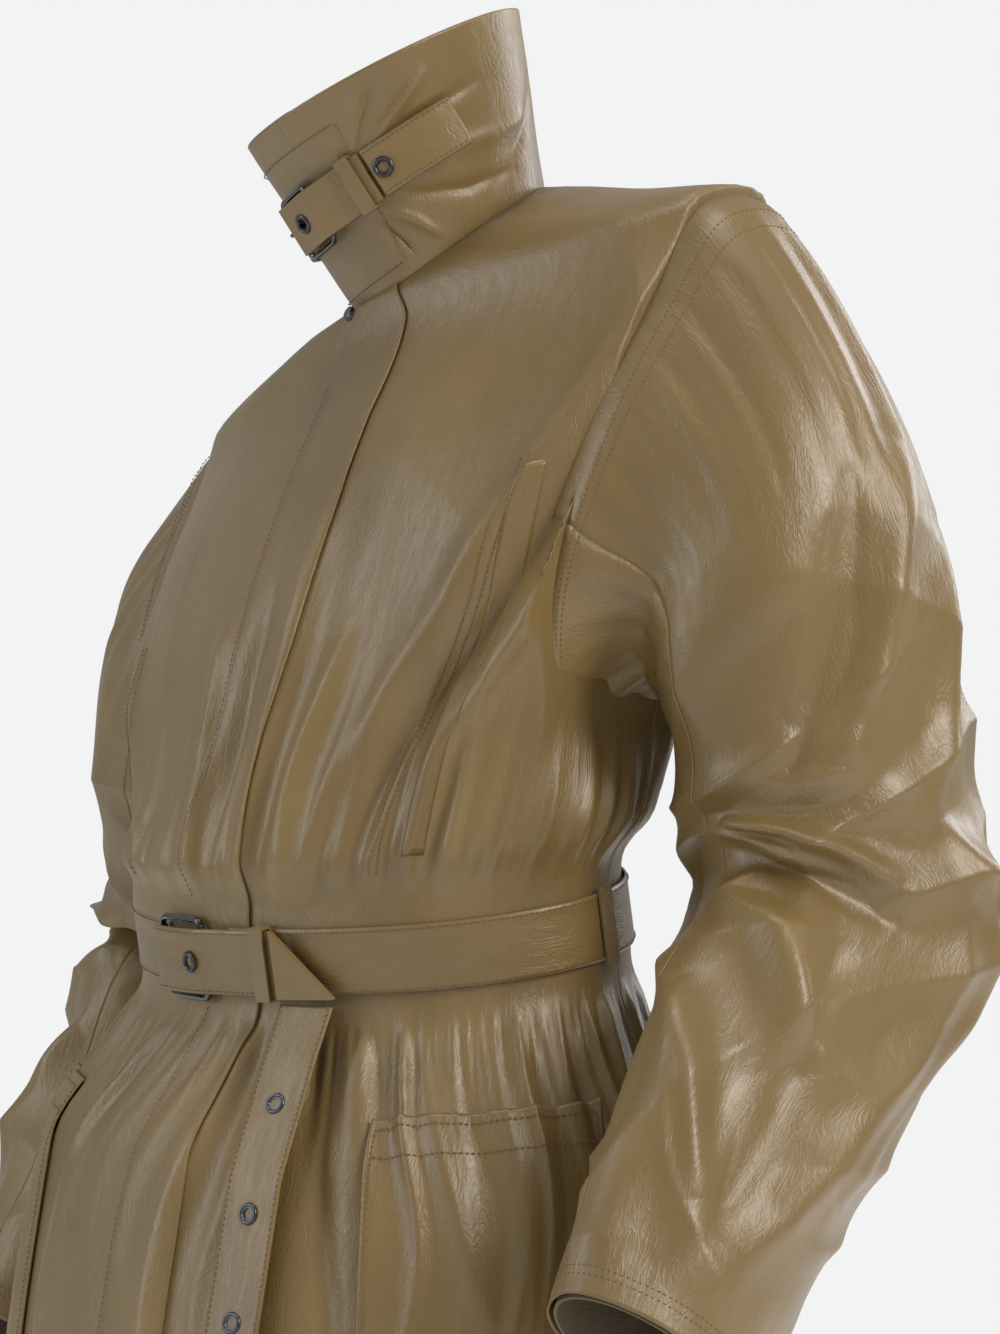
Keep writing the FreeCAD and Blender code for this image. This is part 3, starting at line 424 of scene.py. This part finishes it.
def sleeve_folds(side, turn, down):
    """Outward height of a sleeve's folds: soft at the head, sharp diamonds round the elbow."""
    seed = 5.0 if side == "left" else 77.0
    run, along = turn * SLEEVE_TURN, down * RING_RUN
    height = 6.0 * wander(turn * 0.03, down * 0.5, seed) * rise(0.25, 0.9, down)
    cross = 1 - 2.3 * np.clip(np.abs(wander(run * 0.0075 + along * 0.0065,
                                            along * 0.0085 - run * 0.002, seed + 9)), 0, 0.43)
    counter = 1 - 2.3 * np.clip(np.abs(wander(run * 0.007 - along * 0.007,
                                              along * 0.0075, seed + 19)), 0, 0.43)
    bend = np.exp(-((down - 3.1) / 1.0) ** 2)
    height += (13 * cross**1.5 + 11 * counter**1.5 - 8) * (0.3 + 0.7 * bend) * rise(0.5, 1.4, down)
    height += 1.3 * wander(run * 0.022, along * 0.02, seed + 31) * rise(0.2, 0.8, down)
    gather = wander(turn * 0.13, down * 0.5, seed + 41)
    height += 3.2 * gather * rise(0.06, 0.3, down) * (1 - rise(0.5, 1.2, down))
    for path, width, tall in SLEEVE_PLEATS:
        mapped = [(a * SLEEVE_TURN, d * RING_RUN) for a, d in path]
        height += fold(run, along, mapped, width, tall, 1.5)
    height = np.maximum(height, -1.5 - 0.35 * np.abs(height))
    return height * rise(0, 0.25, down) * (1 - 0.75 * rise(4.75, 4.95, down))


def armhole_radii(side, turns):
    """Distance from the armhole's middle to the body cloth, round the armhole's plane."""
    spot, way = ARMHOLES[side]
    angle, level = np.meshgrid(np.linspace(-180, 180, 721), np.linspace(-2, -420, 420))
    rest = girth_points(angle, level)
    past = (rest - spot) @ way
    sign = 1.0 if side == "left" else -1.0
    up = np.array([0, 0, 1.0]) - way * way[2]
    up = up / np.linalg.norm(up)
    front = np.cross(way, up) * sign
    near = rest[np.abs(past) < 2.5] - spot
    height, ahead = near @ up, near @ front
    found = np.degrees(np.arctan2(ahead / HEAD_DEEP, height / HEAD_TALL)) % 360
    radius = np.hypot(ahead / HEAD_DEEP, height / HEAD_TALL)
    result = []
    for value in np.asarray(turns) % 360:
        gap = np.abs((found - value + 180) % 360 - 180)
        close = gap < 4
        result.append(radius[close].mean() if close.any() else np.nan)
    result = np.array(result)
    known = np.where(~np.isnan(result))[0]
    result = np.interp(np.arange(len(result)), known, result[known], period=len(result) - 1)
    kernel = np.ones(9) / 9
    return np.convolve(np.concatenate([result[-5:-1], result, result[1:5]]), kernel, "valid")


LINING_DARK, LINING_LIGHT = (0.13, 0.1, 0.06, 1), (0.17, 0.13, 0.08, 1)
LINING = coated_cotton("lining_cotton", LINING_DARK, LINING_LIGHT, 0.6, 0.2)


def plain(name, colour, roughness, metallic=0.0, coat=0.0):
    """Even material for small pieces, slightly uneven in gloss."""
    material = bpy.data.materials.new(name)
    material.use_nodes = True
    nodes, links = material.node_tree.nodes, material.node_tree.links
    shader = nodes["Principled BSDF"]
    socket_values(shader, Metallic=metallic, Coat_Weight=coat, Coat_Roughness=0.08)
    shader.inputs["Base Color"].default_value = colour
    place = nodes.new("ShaderNodeTexCoord")
    grain = nodes.new("ShaderNodeTexNoise")
    grain.inputs["Scale"].default_value = 260.0
    links.new(place.outputs["Object"], grain.inputs["Vector"])
    rough = nodes.new("ShaderNodeMapRange")
    rough.inputs["To Min"].default_value = roughness * 0.8
    rough.inputs["To Max"].default_value = roughness * 1.25
    links.new(grain.outputs["Fac"], rough.inputs["Value"])
    links.new(rough.outputs["Result"], shader.inputs["Roughness"])
    return material


THREAD = plain("brown_thread", (0.17, 0.105, 0.05, 1), 0.7)


def stitches(name, paths, body, pitch=3.6, long=2.7, radius=0.42):
    """Thread segments along paths of (point, outward) rows in millimetres, in one object."""
    corners, faces = [], []
    for path, out in paths:
        path, out = np.asarray(path, float), np.asarray(out, float)
        lengths = np.concatenate([[0], np.cumsum(np.linalg.norm(np.diff(path, axis=0), axis=1))])
        spots = np.arange(pitch / 2, lengths[-1], pitch)
        for spot in spots:
            ends = [np.array([np.interp(at, lengths, path[:, k]) for k in range(3)])
                    for at in (spot - long / 2, spot, spot + long / 2)]
            up = np.array([np.interp(spot, lengths, out[:, k]) for k in range(3)])
            up = up / (np.linalg.norm(up) + 1e-9)
            run = ends[2] - ends[0]
            run = run / (np.linalg.norm(run) + 1e-9)
            side = np.cross(run, up)
            base = len(corners)
            for place, scale, raised in zip(ends, (0.45, 1.0, 0.45), (-0.1, 0.35, -0.1)):
                for a, b in ((1, 0), (0, 1), (-1, 0), (0, -1)):
                    corners.append((place + side * a * radius * scale
                                    + up * (b * radius * scale + raised * radius * 2)) * MM)
            for ring in (0, 4):
                for k in range(4):
                    faces.append((base + ring + k, base + ring + (k + 1) % 4,
                                  base + ring + 4 + (k + 1) % 4, base + ring + 4 + k))
            faces += [(base, base + 1, base + 2, base + 3), (base + 11, base + 10, base + 9, base + 8)]
    mesh = bpy.data.meshes.new(name)
    mesh.from_pydata([tuple(c) for c in corners], [], faces)
    made = bpy.data.objects.new(name, mesh)
    bpy.context.collection.objects.link(made)
    dress(made, THREAD)
    if body:
        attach(made, body)
    return made


for side in ("left", "right"):
    body = side + "_sleeve"
    turns = np.linspace(-180, 180, int(240 * FINE) + 1)
    downs = np.concatenate([np.linspace(0, 0.3, 12), np.linspace(0.32, 5, int(280 * FINE))])
    turn, down = np.meshgrid(turns, downs)
    rest = sleeve_points(side, turn, down)
    fit = armhole_radii(side, turns)[None, :] * 1.012
    middle = smooth_rows(np.arange(6), np.array(ARMS[side], float), down)[..., 0:3]
    keep = 1 - rise(0.0, 0.75, down)
    rest = middle + (rest - middle) * (keep * (fit - 1) + 1)[..., None]
    out = normals_of(rest)
    away = rest - middle
    out = out * np.sign((out * away).sum(-1, keepdims=True))
    points = rest + out * sleeve_folds(side, turn, down)[..., None]
    tuck = (1 - rise(0.0, 0.1, down))[..., None]
    points = points - tuck * (ARMHOLES[side][1] * 16 + out * 5)
    uv = np.stack([turn * SLEEVE_TURN, down * RING_RUN], -1)
    back_seam, front_seam = np.abs(turns + 100).argmin(), np.abs(turns - 100).argmin()
    for part in ("top", "under"):
        columns = np.arange(back_seam, front_seam + 1)
        if part == "under":
            columns = np.concatenate([np.arange(front_seam, len(turns)),
                                      np.arange(1, back_seam + 1)])
        node = "%s_sleeve_%s" % (side, part)
        shape, place = points[:, columns], uv[:, columns].copy()
        if part == "under":
            whole_turn = 360 * SLEEVE_TURN
            place[..., 0] = np.where(place[..., 0] < 0, place[..., 0] + whole_turn, place[..., 0])
        made = grid_mesh(node + "_cloth", shape, place)
        cloth_piece(made, None)
        spot, way = ARMHOLES[side]
        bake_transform(made)
        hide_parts(node)
    inside = (downs > 0.3) & (downs < 4.8)
    shape = (points - out * 3.4)[inside][::2, ::2]
    made = grid_mesh(side + "_sleeve_lining_cloth", shape, uv[inside][::2, ::2])
    cloth_piece(made, None, LINING,
                thickness=0.6)
    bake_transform(made)
    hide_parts(side + "_sleeve_lining")
    rows = []
    for index in (int(np.abs(downs - at).argmin()) for at in (0.11, 0.17)):
        line, away = points[index], out[index]
        rows.append((line + away * 1.0, away))
    stitches(side + "_armhole_stitching", rows, "coat_body")
    cuff = [(points[-k], out[-k]) for k in (6, 8)]
    stitches(side + "_cuff_stitching", [(line + away, away) for line, away in cuff], body)

# ---------------------------------------------------------------- front stitching
# Brown thread along the front's lap and beside both chest welts, run on the folded cloth.


def folded_point(angle, level, lift):
    """Points of the folded body cloth, one by one."""
    rest = girth_points(angle, level)
    step_a, step_l = girth_points(angle + 0.3, level), girth_points(angle, level + 0.6)
    out = np.cross(step_a - rest, step_l - rest)
    out = out / (np.linalg.norm(out, axis=-1, keepdims=True) + 1e-9)
    return rest + out * (body_folds(angle, level) + lift)[..., None]


def body_line(places, lift=1.0, count=160):
    """Path on the folded body cloth through (angle, level) places."""
    places = np.asarray(places, float)
    at = np.linspace(0, len(places) - 1, count)
    angle = np.interp(at, np.arange(len(places)), places[:, 0])
    level = np.interp(at, np.arange(len(places)), places[:, 1])
    patch = []
    for shift in (0, 1):
        a, b = angle + shift * 0.2, level
        patch.append(np.stack([folded_point(a, b + dz, lift) for dz in (0.6, 0, -0.6)], 0))
    here = patch[0][1]
    out = np.cross(patch[1][1] - here, patch[0][0] - patch[0][2])
    out = out / (np.linalg.norm(out, axis=1, keepdims=True) + 1e-9)
    return here, out


body_rows = [body_line([(-97.5, -70), (-97, -250), (-99, -380)], 3.4),
             body_line([(-97, -445), (-96, -700), (-95, -1100)], 3.4, 300)]
for shift in (0, 1.6):
    body_rows.append(body_line([(-49 + shift, -172), (-55 + shift, -372)], 0.9))
    body_rows.append(body_line([(-131 - shift, -205), (-124 - shift, -372)], 3.4))
stitches("front_stitching", body_rows, "coat_body")

# ---------------------------------------------------------------- neck stud
# One enamelled press stud that holds the front's lap under the collar.
ENAMEL = plain("black_enamel", (0.006, 0.006, 0.007, 1), 0.12, 0.0, 1.0)


def neck_stud():
    """Enamelled press stud, domed and seated on the cloth under the collar's front."""
    low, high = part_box("neck_stud")
    middle = (np.array(low) + np.array(high)) / 2 / MM
    angle, level = np.meshgrid(np.linspace(-130, -84, 93), np.linspace(-8, -70, 125))
    seats = folded_point(angle, level, 2.3)
    row, column = np.unravel_index(np.linalg.norm(seats - middle, axis=-1).argmin(), angle.shape)
    seat = seats[row, column]
    out = np.cross(seats[row + 1, column] - seat, seats[row, column + 1] - seat)
    out /= np.linalg.norm(out)
    shape = bmesh.new()
    bmesh.ops.create_cone(shape, cap_ends=True, segments=40, radius1=5 * MM, radius2=4.4 * MM,
                          depth=2.2 * MM)
    rim = [edge for edge in shape.edges if all(vertex.co.z > 0 for vertex in edge.verts)]
    bmesh.ops.bevel(shape, geom=rim, offset=0.9 * MM, affect="EDGES", segments=4, profile=0.5,
                    material=-1)
    bmesh.ops.recalc_face_normals(shape, faces=shape.faces)
    place = Vector(out).to_track_quat("Z", "Y").to_matrix().to_4x4()
    place.translation = Vector((seat + out * 0.9) * MM)
    bmesh.ops.transform(shape, matrix=place, verts=shape.verts)
    mesh = bpy.data.meshes.new("neck_stud_cap")
    shape.to_mesh(mesh)
    shape.free()
    made = bpy.data.objects.new("neck_stud_cap", mesh)
    bpy.context.collection.objects.link(made)
    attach(dress(made, ENAMEL), "coat_body")
    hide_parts("neck_stud")


neck_stud()

# ---------------------------------------------------------------- pockets
# Patch pockets of the same cloth on the skirt, stitched all round and under the mouth.
for side, first, last in (("left", -52, -4), ("right", -176, -128)):
    points, uv = body_grid(first, last, -508, -735, 90, 110, 4.6)
    made = grid_mesh(side + "_pocket_cloth", points, uv + np.array([211.0, 37.0]))
    cloth_piece(made, "coat_body")
    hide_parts(side + "_pocket")
    low, high = first + 1.0, last - 1.0
    rows = [body_line([(low, -728), (low, -514), (high, -514), (high, -728), (low, -728)], 5.4, 500),
            body_line([(low, -530), (high, -530)], 5.4)]
    stitches(side + "_pocket_stitching", rows, "coat_body")

# ---------------------------------------------------------------- chest welts
# Narrow slanting welts on the chest, one strip of cloth each.
for side, first, last in (("left", -48.5, -44), ("right", -130, -125)):
    points, uv = body_grid(first, last, -178, -365, 9, 60, 0.5)
    made = grid_mesh(side + "_welt_cloth", points, uv + np.array([97.0, 11.0]))
    cloth_piece(made, "coat_body")
    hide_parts(side + "_chest_welt")

# ---------------------------------------------------------------- collar
# A high stand collar in two lapped lengths of doubled cloth, stitched along its edges.
# The throat strap pulls tension folds into it.


def turned_ring(angle, radius, middle, pitch, roll):
    """Point of a circle that is pitched about X and rolled about Y."""
    turn, pitch, roll = np.radians(angle), math.radians(pitch), math.radians(-roll)
    x, y = radius * np.cos(turn), radius * np.sin(turn)
    y, z = y * math.cos(pitch), y * math.sin(pitch)
    x, z = x * math.cos(roll) + z * math.sin(roll), -x * math.sin(roll) + z * math.cos(roll)
    return np.stack([x + middle[0], y + middle[1], z + middle[2]], -1)

COLLAR_TURN, COLLAR_TALL = 1.5, 112   # cloth to a degree round the collar, and its height
COLLAR_BASE = (69, (0, -0.4, 1), 26.5, 22.8)      # radius, middle, pitch and roll
COLLAR_TOP = (92, (-8, -48, 102), 19.8, 18.8)


def collar_points(angle, up, lift=0.0):
    """Collar at an angle (degrees, 0 at the wearer's left, -90 in front) and height from 0 to 1."""
    low, high = (turned_ring(angle, radius + lift, middle, pitch, roll)
                 for radius, middle, pitch, roll in (COLLAR_BASE, COLLAR_TOP))
    up = np.asarray(up)[..., None]
    return low + (high - low) * up


COLLAR_PLEATS = [
    ([(-70, 0.42), (-52, 0.3), (-30, 0.2), (0, 0.16)], 4.5, -3.4),
    ([(-72, 0.36), (-58, 0.18), (-50, 0.04)], 3.6, 3.2),
    ([(-76, 0.3), (-70, 0.15), (-66, 0.02)], 2.8, -3.0),
    ([(-66, 0.62), (-48, 0.74), (-30, 0.86)], 4.2, 3.0),
    ([(-72, 0.66), (-62, 0.8), (-52, 0.95)], 3.4, -2.8),
    ([(-58, 0.66), (-34, 0.66), (-6, 0.7)], 5.0, -2.6),
    ([(-34, 0.42), (-8, 0.38), (22, 0.42)], 5.5, 3.0),
    ([(-20, 0.1), (10, 0.3), (40, 0.62)], 6.0, -2.6),
    ([(60, 0.2), (84, 0.3), (116, 0.26)], 7.0, 3.0),
    ([(130, 0.6), (160, 0.5), (190, 0.56)], 7.0, 2.6)]


def collar_folds(angle, up):
    """Tension folds that fan out from the throat strap, and a soft roll round the back."""
    wide, tall = (angle + 90) * COLLAR_TURN, up * COLLAR_TALL
    height = 1.6 * wander(angle * 0.03, up * 1.6, 61.0)
    for path, width, rise_mm in COLLAR_PLEATS:
        mapped = [((a + 90) * COLLAR_TURN, u * COLLAR_TALL) for a, u in path]
        height += fold(wide, tall, mapped, width, rise_mm, 1.4)
    return height * rise(-0.02, 0.1, up) * (1 - 0.5 * rise(0.85, 1.0, up))


def collar_sheet(name, first, last, lift, columns, replaced, trim=0.0):
    """One end-to-end stretch of collar cloth, its top corner rounded at the first angle."""
    angle, up = np.meshgrid(np.linspace(first, last, columns), np.linspace(-0.03, 1.0, 70))
    corner = trim * np.exp(-((angle - first) / 5.0) ** 2) * rise(0.55, 1.0, up)
    up = up - corner
    rest = collar_points(angle, up, lift)
    out = rest - collar_points(angle, up, lift - 8)
    out /= np.linalg.norm(out, axis=-1, keepdims=True)
    points = rest + out * collar_folds(angle, up)[..., None]
    uv = np.stack([angle * COLLAR_TURN + 700, up * COLLAR_TALL], -1)
    made = grid_mesh(name, points, uv)
    cloth_piece(made, "coat_body", thickness=1.6)
    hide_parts(*replaced)
    rows = []
    for level in (0.83, 0.05):
        turn = np.linspace(first + 4, last - 1, 500)
        high = np.full(500, level)
        place = collar_points(turn, high, lift)
        away = place - collar_points(turn, high, lift - 8)
        away /= np.linalg.norm(away, axis=1, keepdims=True)
        rows.append((place + away * (collar_folds(turn, high) + 0.9)[:, None], away))
    if trim:
        high = np.linspace(0.05, 0.83, 90)
        turn = np.full(90, first + 5.5)
        place = collar_points(turn, high, lift)
        away = place - collar_points(turn, high, lift - 8)
        away /= np.linalg.norm(away, axis=1, keepdims=True)
        rows.append((place + away * (collar_folds(turn, high) + 0.9)[:, None], away))
    stitches(name + "_stitching", rows, "coat_body")
    return made


collar_sheet("collar_left", -96, 90, 0.4, 300, ["collar_outer"])
collar_sheet("collar_right", -78, -271, 2.0, 320, ["collar_underlap"], trim=0.12)

# ---------------------------------------------------------------- belt
# A soft 40 mm strap of coated cotton, stitched along both edges, run round the waist.


def strap_cloth(name, middles, across, width, thickness, body, replaced, shift=(0.0, 0.0)):
    """Soft-edged strap along middle points, with stitched edges; across gives its width."""
    middles, across = np.asarray(middles, float), np.asarray(across, float)
    lengths = np.concatenate([[0], np.cumsum(np.linalg.norm(np.diff(middles, axis=0), axis=1))])
    spots = np.arange(0, lengths[-1] + 0.01, 2.5)
    line = np.stack([np.interp(spots, lengths, middles[:, k]) for k in range(3)], 1)
    kernel = np.ones(3) / 3
    for k in range(3):
        padded = np.concatenate([[line[0, k]], line[:, k], [line[-1, k]]])
        line[:, k] = np.convolve(padded, kernel, "valid")
    across = np.broadcast_to(across, middles.shape)
    side = np.stack([np.interp(spots, lengths, across[:, k]) for k in range(3)], 1)
    side /= np.linalg.norm(side, axis=1, keepdims=True)
    run = np.gradient(line, axis=0)
    out = np.cross(run, side)
    out /= np.linalg.norm(out, axis=1, keepdims=True)
    half = width / 2
    section = [(-half, -0.2), (-half + 0.5, 0.3), (-half + 2.6, 0.42)]
    section += [(x, 0.32) for x in np.linspace(-half + 5, half - 5, 9)]
    section += [(half - 2.6, 0.42), (half - 0.5, 0.3), (half, -0.2)]
    ripple = np.stack([wander(spots * 0.035, np.full(len(spots), x * 0.05), 91.0)
                       for x, _ in section], 1)
    points = np.stack([line + side * x + out * (thickness * h) for x, h in section], 1)
    points = points + out[:, None, :] * (0.35 * ripple * (np.abs(np.array(
        [x for x, _ in section])) < half - 4))[..., None]
    uv = np.stack(np.meshgrid([x for x, _ in section], spots), -1) + np.array(shift)
    made = grid_mesh(name, points, uv)
    dress(made, SHELL)
    thicken(made, thickness * 0.72)
    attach(made, body)
    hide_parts(*replaced)
    rows = [(line + side * x + out * thickness * 0.46, out) for x in (2.4 - half, half - 2.4)]
    stitches(name + "_stitching", rows, body)
    return made


PITCH = math.radians(9.65)
BELT_UP = np.array([0, -math.sin(PITCH), math.cos(PITCH)])


def belt_point(angle, lift):
    """Point of the belt's run round the waist."""
    turn = np.radians(angle)
    x, y = (182 + lift) * np.cos(turn), (118 + lift) * np.sin(turn)
    return np.stack([x, y * math.cos(PITCH) - 60, y * math.sin(PITCH) - 415], -1)


strap_cloth("belt_band", belt_point(np.linspace(-89, 253, 400), 2.2), BELT_UP, 40, 2.4,
            "coat_body", ["belt_strap"])

# ---------------------------------------------------------------- belt's end and tail
# The strap's end passes through the buckle and its keeper, folds over, and its tail hangs
# down in front of the skirt, where it swings on its own body.
BELT_OUT = np.array([0, -math.cos(PITCH), -math.sin(PITCH)])


def belt_spot(x_offset, lift):
    """Point over the belt's front at an offset along X."""
    deep = 118 * math.sqrt(1 - (x_offset / 182) ** 2) + lift
    return np.array([x_offset, -60, -415]) + BELT_OUT * deep


tongue_path = [belt_spot(x, lift) for x, lift in ((-61.5, 13.2), (-57, 14.3), (-38, 14.5),
                                                 (-18, 13.6), (-6, 11.0), (14, 9.6), (30, 8.6),
                                                 (49, 9.6))]
strap_cloth("belt_end", tongue_path, BELT_UP, 40, 2.4, "coat_body", ["belt_tongue"], (60, 0))
tail_top = np.array([68.495, -175.397, -458.155])
tail_side = np.array([0.98667, 0.16275, 0])
tail_out = np.array([0.16275, -0.98667, 0])
tail_path = [tail_top + np.array([0, 0, -1.0]) * d + tail_out * h
             for d, h in ((0, 0), (30, 15.5), (96, 46), (150, 59), (220, 76), (290, 92))]
strap_cloth("belt_tail_cloth", tail_path, tail_side, 40, 2.2, "belt_tail_body", ["belt_tail"],
            (120, 0))

# ---------------------------------------------------------------- throat strap's tip
# The free end of the 32 mm throat strap, which lies round the collar past its keeper.
THROAT_UP = np.array([-0.35671, -0.390731, 0.84858])
THROAT_MIDDLE = np.array([-4.0, -22, 52])
THROAT_SIDE = np.array([math.cos(math.radians(22.8)), 0, math.sin(math.radians(22.8))])
THROAT_OUT = np.cross(THROAT_SIDE, THROAT_UP)


def throat_spot(angle, lift):
    """Point round the collar from its front towards the wearer's left."""
    turn = math.radians(angle)
    return THROAT_MIDDLE + (86 + lift) * (THROAT_SIDE * math.sin(turn)
                                          + THROAT_OUT * math.cos(turn))


tip_path = [throat_spot(22.4 + step * 8, 7.6 + step * 0.6) for step in range(6)]
strap_cloth("throat_tip_cloth", tip_path, THROAT_UP, 32, 2.2, "throat_tip_body", ["throat_tip"],
            (180, 0))

# ---------------------------------------------------------------- trims and hardware
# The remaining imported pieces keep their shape: black enamelled buckles, gunmetal eyelets,
# resin buttons, and the small cloth trims and facings.
SOLID_SHELL = coated_cotton("khaki_trims", KHAKI_DARK, KHAKI_LIGHT, 0.37, 0.3, on_solid=True)
SOLID_LINING = coated_cotton("lining_trims", LINING_DARK, LINING_LIGHT, 0.6, 0.2, on_solid=True)
GUNMETAL = plain("gunmetal", (0.09, 0.09, 0.1, 1), 0.28, 1.0)
RESIN = plain("dark_button_resin", (0.05, 0.035, 0.02, 1), 0.3)
for node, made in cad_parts.items():
    if "eyelet" in node:
        dress(made, GUNMETAL)
    elif "buckle" in node or node == "neck_stud":
        dress(made, ENAMEL)
    elif node == "fly_buttons":
        dress(made, RESIN)
    elif "lining" in node or "facing" in node:
        dress(made, SOLID_LINING)
    else:
        dress(made, SOLID_SHELL)

# ---------------------------------------------------------------- floor, light and camera
# A pale round floor, four soft lights and an even pale surround.
floor_mesh = bpy.data.meshes.new("floor")
floor_shape = bmesh.new()
bmesh.ops.create_circle(floor_shape, cap_ends=True, segments=96, radius=2.9)
floor_shape.to_mesh(floor_mesh)
floor_shape.free()
floor = bpy.data.objects.new("floor", floor_mesh)
bpy.context.collection.objects.link(floor)
floor.location.z = -1.16
pale = plain("pale_floor", (0.86, 0.86, 0.85, 1), 0.8)
pale.node_tree.nodes["Principled BSDF"].inputs["Emission Color"].default_value = (1, 1, 1, 1)
socket_values(pale.node_tree.nodes["Principled BSDF"], Emission_Strength=0.16)
floor_mesh.materials.append(pale)
floor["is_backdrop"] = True


def area_light(name, place, target, size, power, colour):
    """Soft rectangular light aimed at a point."""
    data = bpy.data.lights.new(name, "AREA")
    data.shape, data.size, data.size_y = "RECTANGLE", size[0], size[1]
    data.energy, data.color = power, colour
    made = bpy.data.objects.new(name, data)
    bpy.context.collection.objects.link(made)
    made.location = place
    made.rotation_euler = (Vector(target) - Vector(place)).to_track_quat("-Z", "Y").to_euler()
    return made


aim = (0, 0, -0.35)
area_light("window_left", (-1.6, -2.6, 0.6), aim, (1.0, 2.2), 26, (0.9, 0.95, 1.0))
area_light("key_right", (2.9, 0.1, 1.3), aim, (0.7, 1.8), 66, (1.0, 0.955, 0.9))
area_light("top_soft", (0.2, -0.4, 2.6), aim, (1.4, 1.4), 24, (1.0, 0.98, 0.95))
area_light("rim_back", (0.2, 2.6, 0.9), aim, (1.0, 1.8), 26, (0.95, 0.97, 1.0))
bpy.context.scene.view_settings.view_transform = "Standard"
world = bpy.data.worlds.new("pale_surround")
bpy.context.scene.world = world
world.use_nodes = True
nodes, links = world.node_tree.nodes, world.node_tree.links
surround, backdrop = nodes["Background"], nodes.new("ShaderNodeBackground")
surround.inputs["Color"].default_value = (0.95, 0.96, 0.97, 1)
surround.inputs["Strength"].default_value = 0.38
backdrop.inputs["Color"].default_value = (0.97, 0.975, 0.98, 1)
backdrop.inputs["Strength"].default_value = 0.92
chosen, path_kind = nodes.new("ShaderNodeMixShader"), nodes.new("ShaderNodeLightPath")
links.new(path_kind.outputs["Is Camera Ray"], chosen.inputs["Fac"])
links.new(surround.outputs["Background"], chosen.inputs[1])
links.new(backdrop.outputs["Background"], chosen.inputs[2])
links.new(chosen.outputs["Shader"], nodes["World Output"].inputs["Surface"])
camera_data = bpy.data.cameras.new("camera")
camera = bpy.data.objects.new("camera", camera_data)
bpy.context.collection.objects.link(camera)
bpy.context.scene.camera = camera
look = Vector((-0.731, 0.682, 0))
camera.location = Vector((0.0213, 0.0228, -0.261)) - look * 2.6
camera.rotation_euler = look.to_track_quat("-Z", "Y").to_euler()
camera_data.sensor_width = 36
camera_data.lens = 112.3

# Bounds of the shown pieces, the floor left out.
low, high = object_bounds()
